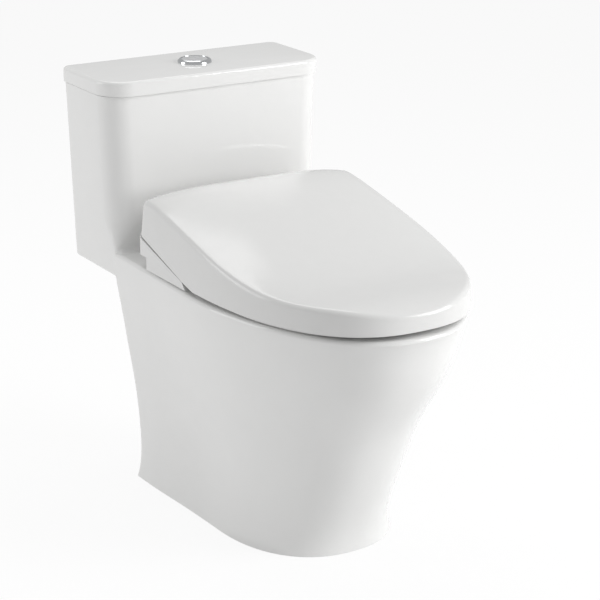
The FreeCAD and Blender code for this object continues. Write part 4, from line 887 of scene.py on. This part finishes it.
class TOILET_OT_small_trim(bpy.types.Operator):
    """Makes the ribbed release button and the ribbed sleeve where the mains lead leaves"""

    bl_idname = "toilet.small_trim"
    bl_label = "Release button and lead sleeve"

    def execute(self, context):
        centre, low, high = middle("release_button")
        size = high - low
        button = block("release_cap", centre, size)
        settle(button, bevel=0.0005)
        first = centre.y - 3 * RIB_SPACING
        rib = block("rib", (high.x, first, centre.z), (0.0008, 0.0009, 0.7 * size.z))
        settle(rib, bevel=0.0002)
        ribs = copies(rib, [(0, RIB_SPACING * i, 0) for i in range(7)])
        finished(joined([button, ribs]), "release", "unit", ["release_button"])

        centre, low, high = middle("power_gland")
        wide = (high.x - low.x) / 2
        length = high.y - low.y
        rings = [(LEAD_RADIUS, 0.0), (wide, 0.0), (wide, 0.0020)]
        for i in range(SLEEVE_RINGS):
            at = 0.0020 + (length - 0.0025) * i / SLEEVE_RINGS
            reach = wide - 0.0012 - 0.0020 * i / SLEEVE_RINGS
            rings += [
                (reach - 0.0008, at + 0.0002), (reach - 0.0008, at + 0.0008), (reach, at + 0.0011),
                (reach, at + 0.0018),
            ]
        rings += [(LEAD_RADIUS + 0.0008, length), (LEAD_RADIUS, length)]
        sleeve = turned("lead_sleeve", rings, hollow=True, sides=40)
        settle(sleeve, (centre.x, low.y, centre.z), (-math.pi / 2, 0, 0))
        finished(sleeve, "seat_unit", "unit", ["power_gland"])
        return {"FINISHED"}


class TOILET_OT_stage(bpy.types.Operator):
    """Makes the pale studio: floor, soft lamps and the camera"""

    bl_idname = "toilet.stage"
    bl_label = "Studio"

    def execute(self, context):
        colours = context.scene.toilet_colours
        bpy.ops.object.select_all(action="DESELECT")
        bpy.ops.mesh.primitive_plane_add(size=FLOOR_SIZE, location=(0, 0, -FLOOR_GAP))
        floor = context.active_object
        floor.name = "studio_floor"
        floor.data.materials.append(self.floor_paint(colours))
        self.light_world(context, colours)
        for name, place, aim, width, height, power in LAMPS:
            bpy.ops.object.light_add(type="AREA", location=place)
            lamp = context.active_object
            lamp.name = name
            lamp.data.shape = "RECTANGLE"
            lamp.data.size = width
            lamp.data.size_y = height
            lamp.data.energy = power
            lamp.rotation_euler = (Vector(aim) - Vector(place)).to_track_quat("-Z", "Y").to_euler()
        bpy.ops.object.camera_add(location=CAMERA_PLACE)
        camera = context.active_object
        camera.name = "studio_camera"
        ahead = Vector(CAMERA_AIM) - Vector(CAMERA_PLACE)
        camera.rotation_euler = ahead.to_track_quat("-Z", "Y").to_euler()
        camera.data.sensor_width = SENSOR
        camera.data.lens = LENS
        camera.data.shift_x = CAMERA_SHIFT
        context.scene.camera = camera
        context.scene.view_settings.view_transform = "Standard"
        return {"FINISHED"}

    def floor_paint(self, colours):
        """Matt white paint that the eye and a mirror see bright, with a soft shadow left in it."""
        made, shader = new_material("matt_white_paint", shade(colours.floor, 0.8), 0.9)
        tree = made.node_tree
        path = add_node(made, "ShaderNodeLightPath")
        seen = add_node(
            made, "ShaderNodeMath", {"operation": "ADD"},
            {0: path.outputs["Is Camera Ray"], 1: path.outputs["Is Glossy Ray"]},
        )
        seen_too = add_node(
            made, "ShaderNodeMath", {"operation": "ADD", "use_clamp": True},
            {0: seen.outputs[0], 1: path.outputs["Is Transmission Ray"]},
        )
        white = add_node(made, "ShaderNodeBsdfDiffuse", {"Color": colours.floor})
        glow = add_node(made, "ShaderNodeEmission", {"Color": colours.floor, "Strength": 1.0})
        bright = add_node(
            made, "ShaderNodeMixShader", {0: FLOOR_GLOW}, {1: white.outputs[0], 2: glow.outputs[0]}
        )
        both = add_node(
            made, "ShaderNodeMixShader", {},
            {0: seen_too.outputs[0], 1: shader.outputs[0], 2: bright.outputs[0]},
        )
        tree.links.new(both.outputs[0], tree.nodes["Material Output"].inputs["Surface"])
        return made

    def light_world(self, context, colours):
        """A plain even studio, white where the camera or a ray through glass sees it."""
        world = bpy.data.worlds.new("studio")
        world.use_nodes = True
        context.scene.world = world
        tree = world.node_tree
        path = add_node(world, "ShaderNodeLightPath")
        seen = add_node(
            world, "ShaderNodeMath", {"operation": "ADD", "use_clamp": True},
            {0: path.outputs["Is Camera Ray"], 1: path.outputs["Is Transmission Ray"]},
        )
        level = add_node(
            world, "ShaderNodeMapRange", {"To Min": WORLD_LEVEL, "To Max": 1.0}, {"Value": seen.outputs[0]}
        )
        tree.links.new(level.outputs["Result"], tree.nodes["Background"].inputs["Strength"])
        tree.nodes["Background"].inputs["Color"].default_value = colours.floor


class TOILET_PT_panel(bpy.types.Panel):
    """Lists the sizes, the colours and the steps that make the object"""

    bl_idname = "TOILET_PT_panel"
    bl_label = "Toilet"
    bl_space_type = "VIEW_3D"
    bl_region_type = "UI"
    bl_category = "Toilet"

    def draw(self, context):
        column = self.layout.column()
        for group in (context.scene.toilet_colours, context.scene.toilet_sizes):
            for key in group.__annotations__:
                column.prop(group, key)
        for operator in OPERATORS:
            column.operator(operator.bl_idname)


OPERATORS = [
    TOILET_OT_finishes, TOILET_OT_button, TOILET_OT_cove, TOILET_OT_buffers, TOILET_OT_nozzle,
    TOILET_OT_inlet, TOILET_OT_shank, TOILET_OT_grilles, TOILET_OT_small_trim, TOILET_OT_stage,
]
CLASSES = [ToiletColours, ToiletSizes, *OPERATORS, TOILET_PT_panel]


def register():
    """Makes the classes and their settings known."""
    for item in CLASSES:
        bpy.utils.register_class(item)
    bpy.types.Scene.toilet_colours = bpy.props.PointerProperty(type=ToiletColours)
    bpy.types.Scene.toilet_sizes = bpy.props.PointerProperty(type=ToiletSizes)


def unregister():
    """Takes the classes and their settings away again."""
    del bpy.types.Scene.toilet_sizes
    del bpy.types.Scene.toilet_colours
    for item in reversed(CLASSES):
        bpy.utils.unregister_class(item)


def main():
    """Makes the object's finishes and trim, then the studio."""
    register()
    bpy.ops.toilet.finishes()
    bpy.ops.toilet.button()
    bpy.ops.toilet.cove()
    bpy.ops.toilet.buffers()
    bpy.ops.toilet.nozzle()
    bpy.ops.toilet.inlet()
    bpy.ops.toilet.shank()
    bpy.ops.toilet.grilles()
    bpy.ops.toilet.small_trim()
    bpy.ops.toilet.stage()


if __name__ == "__main__":
    main()
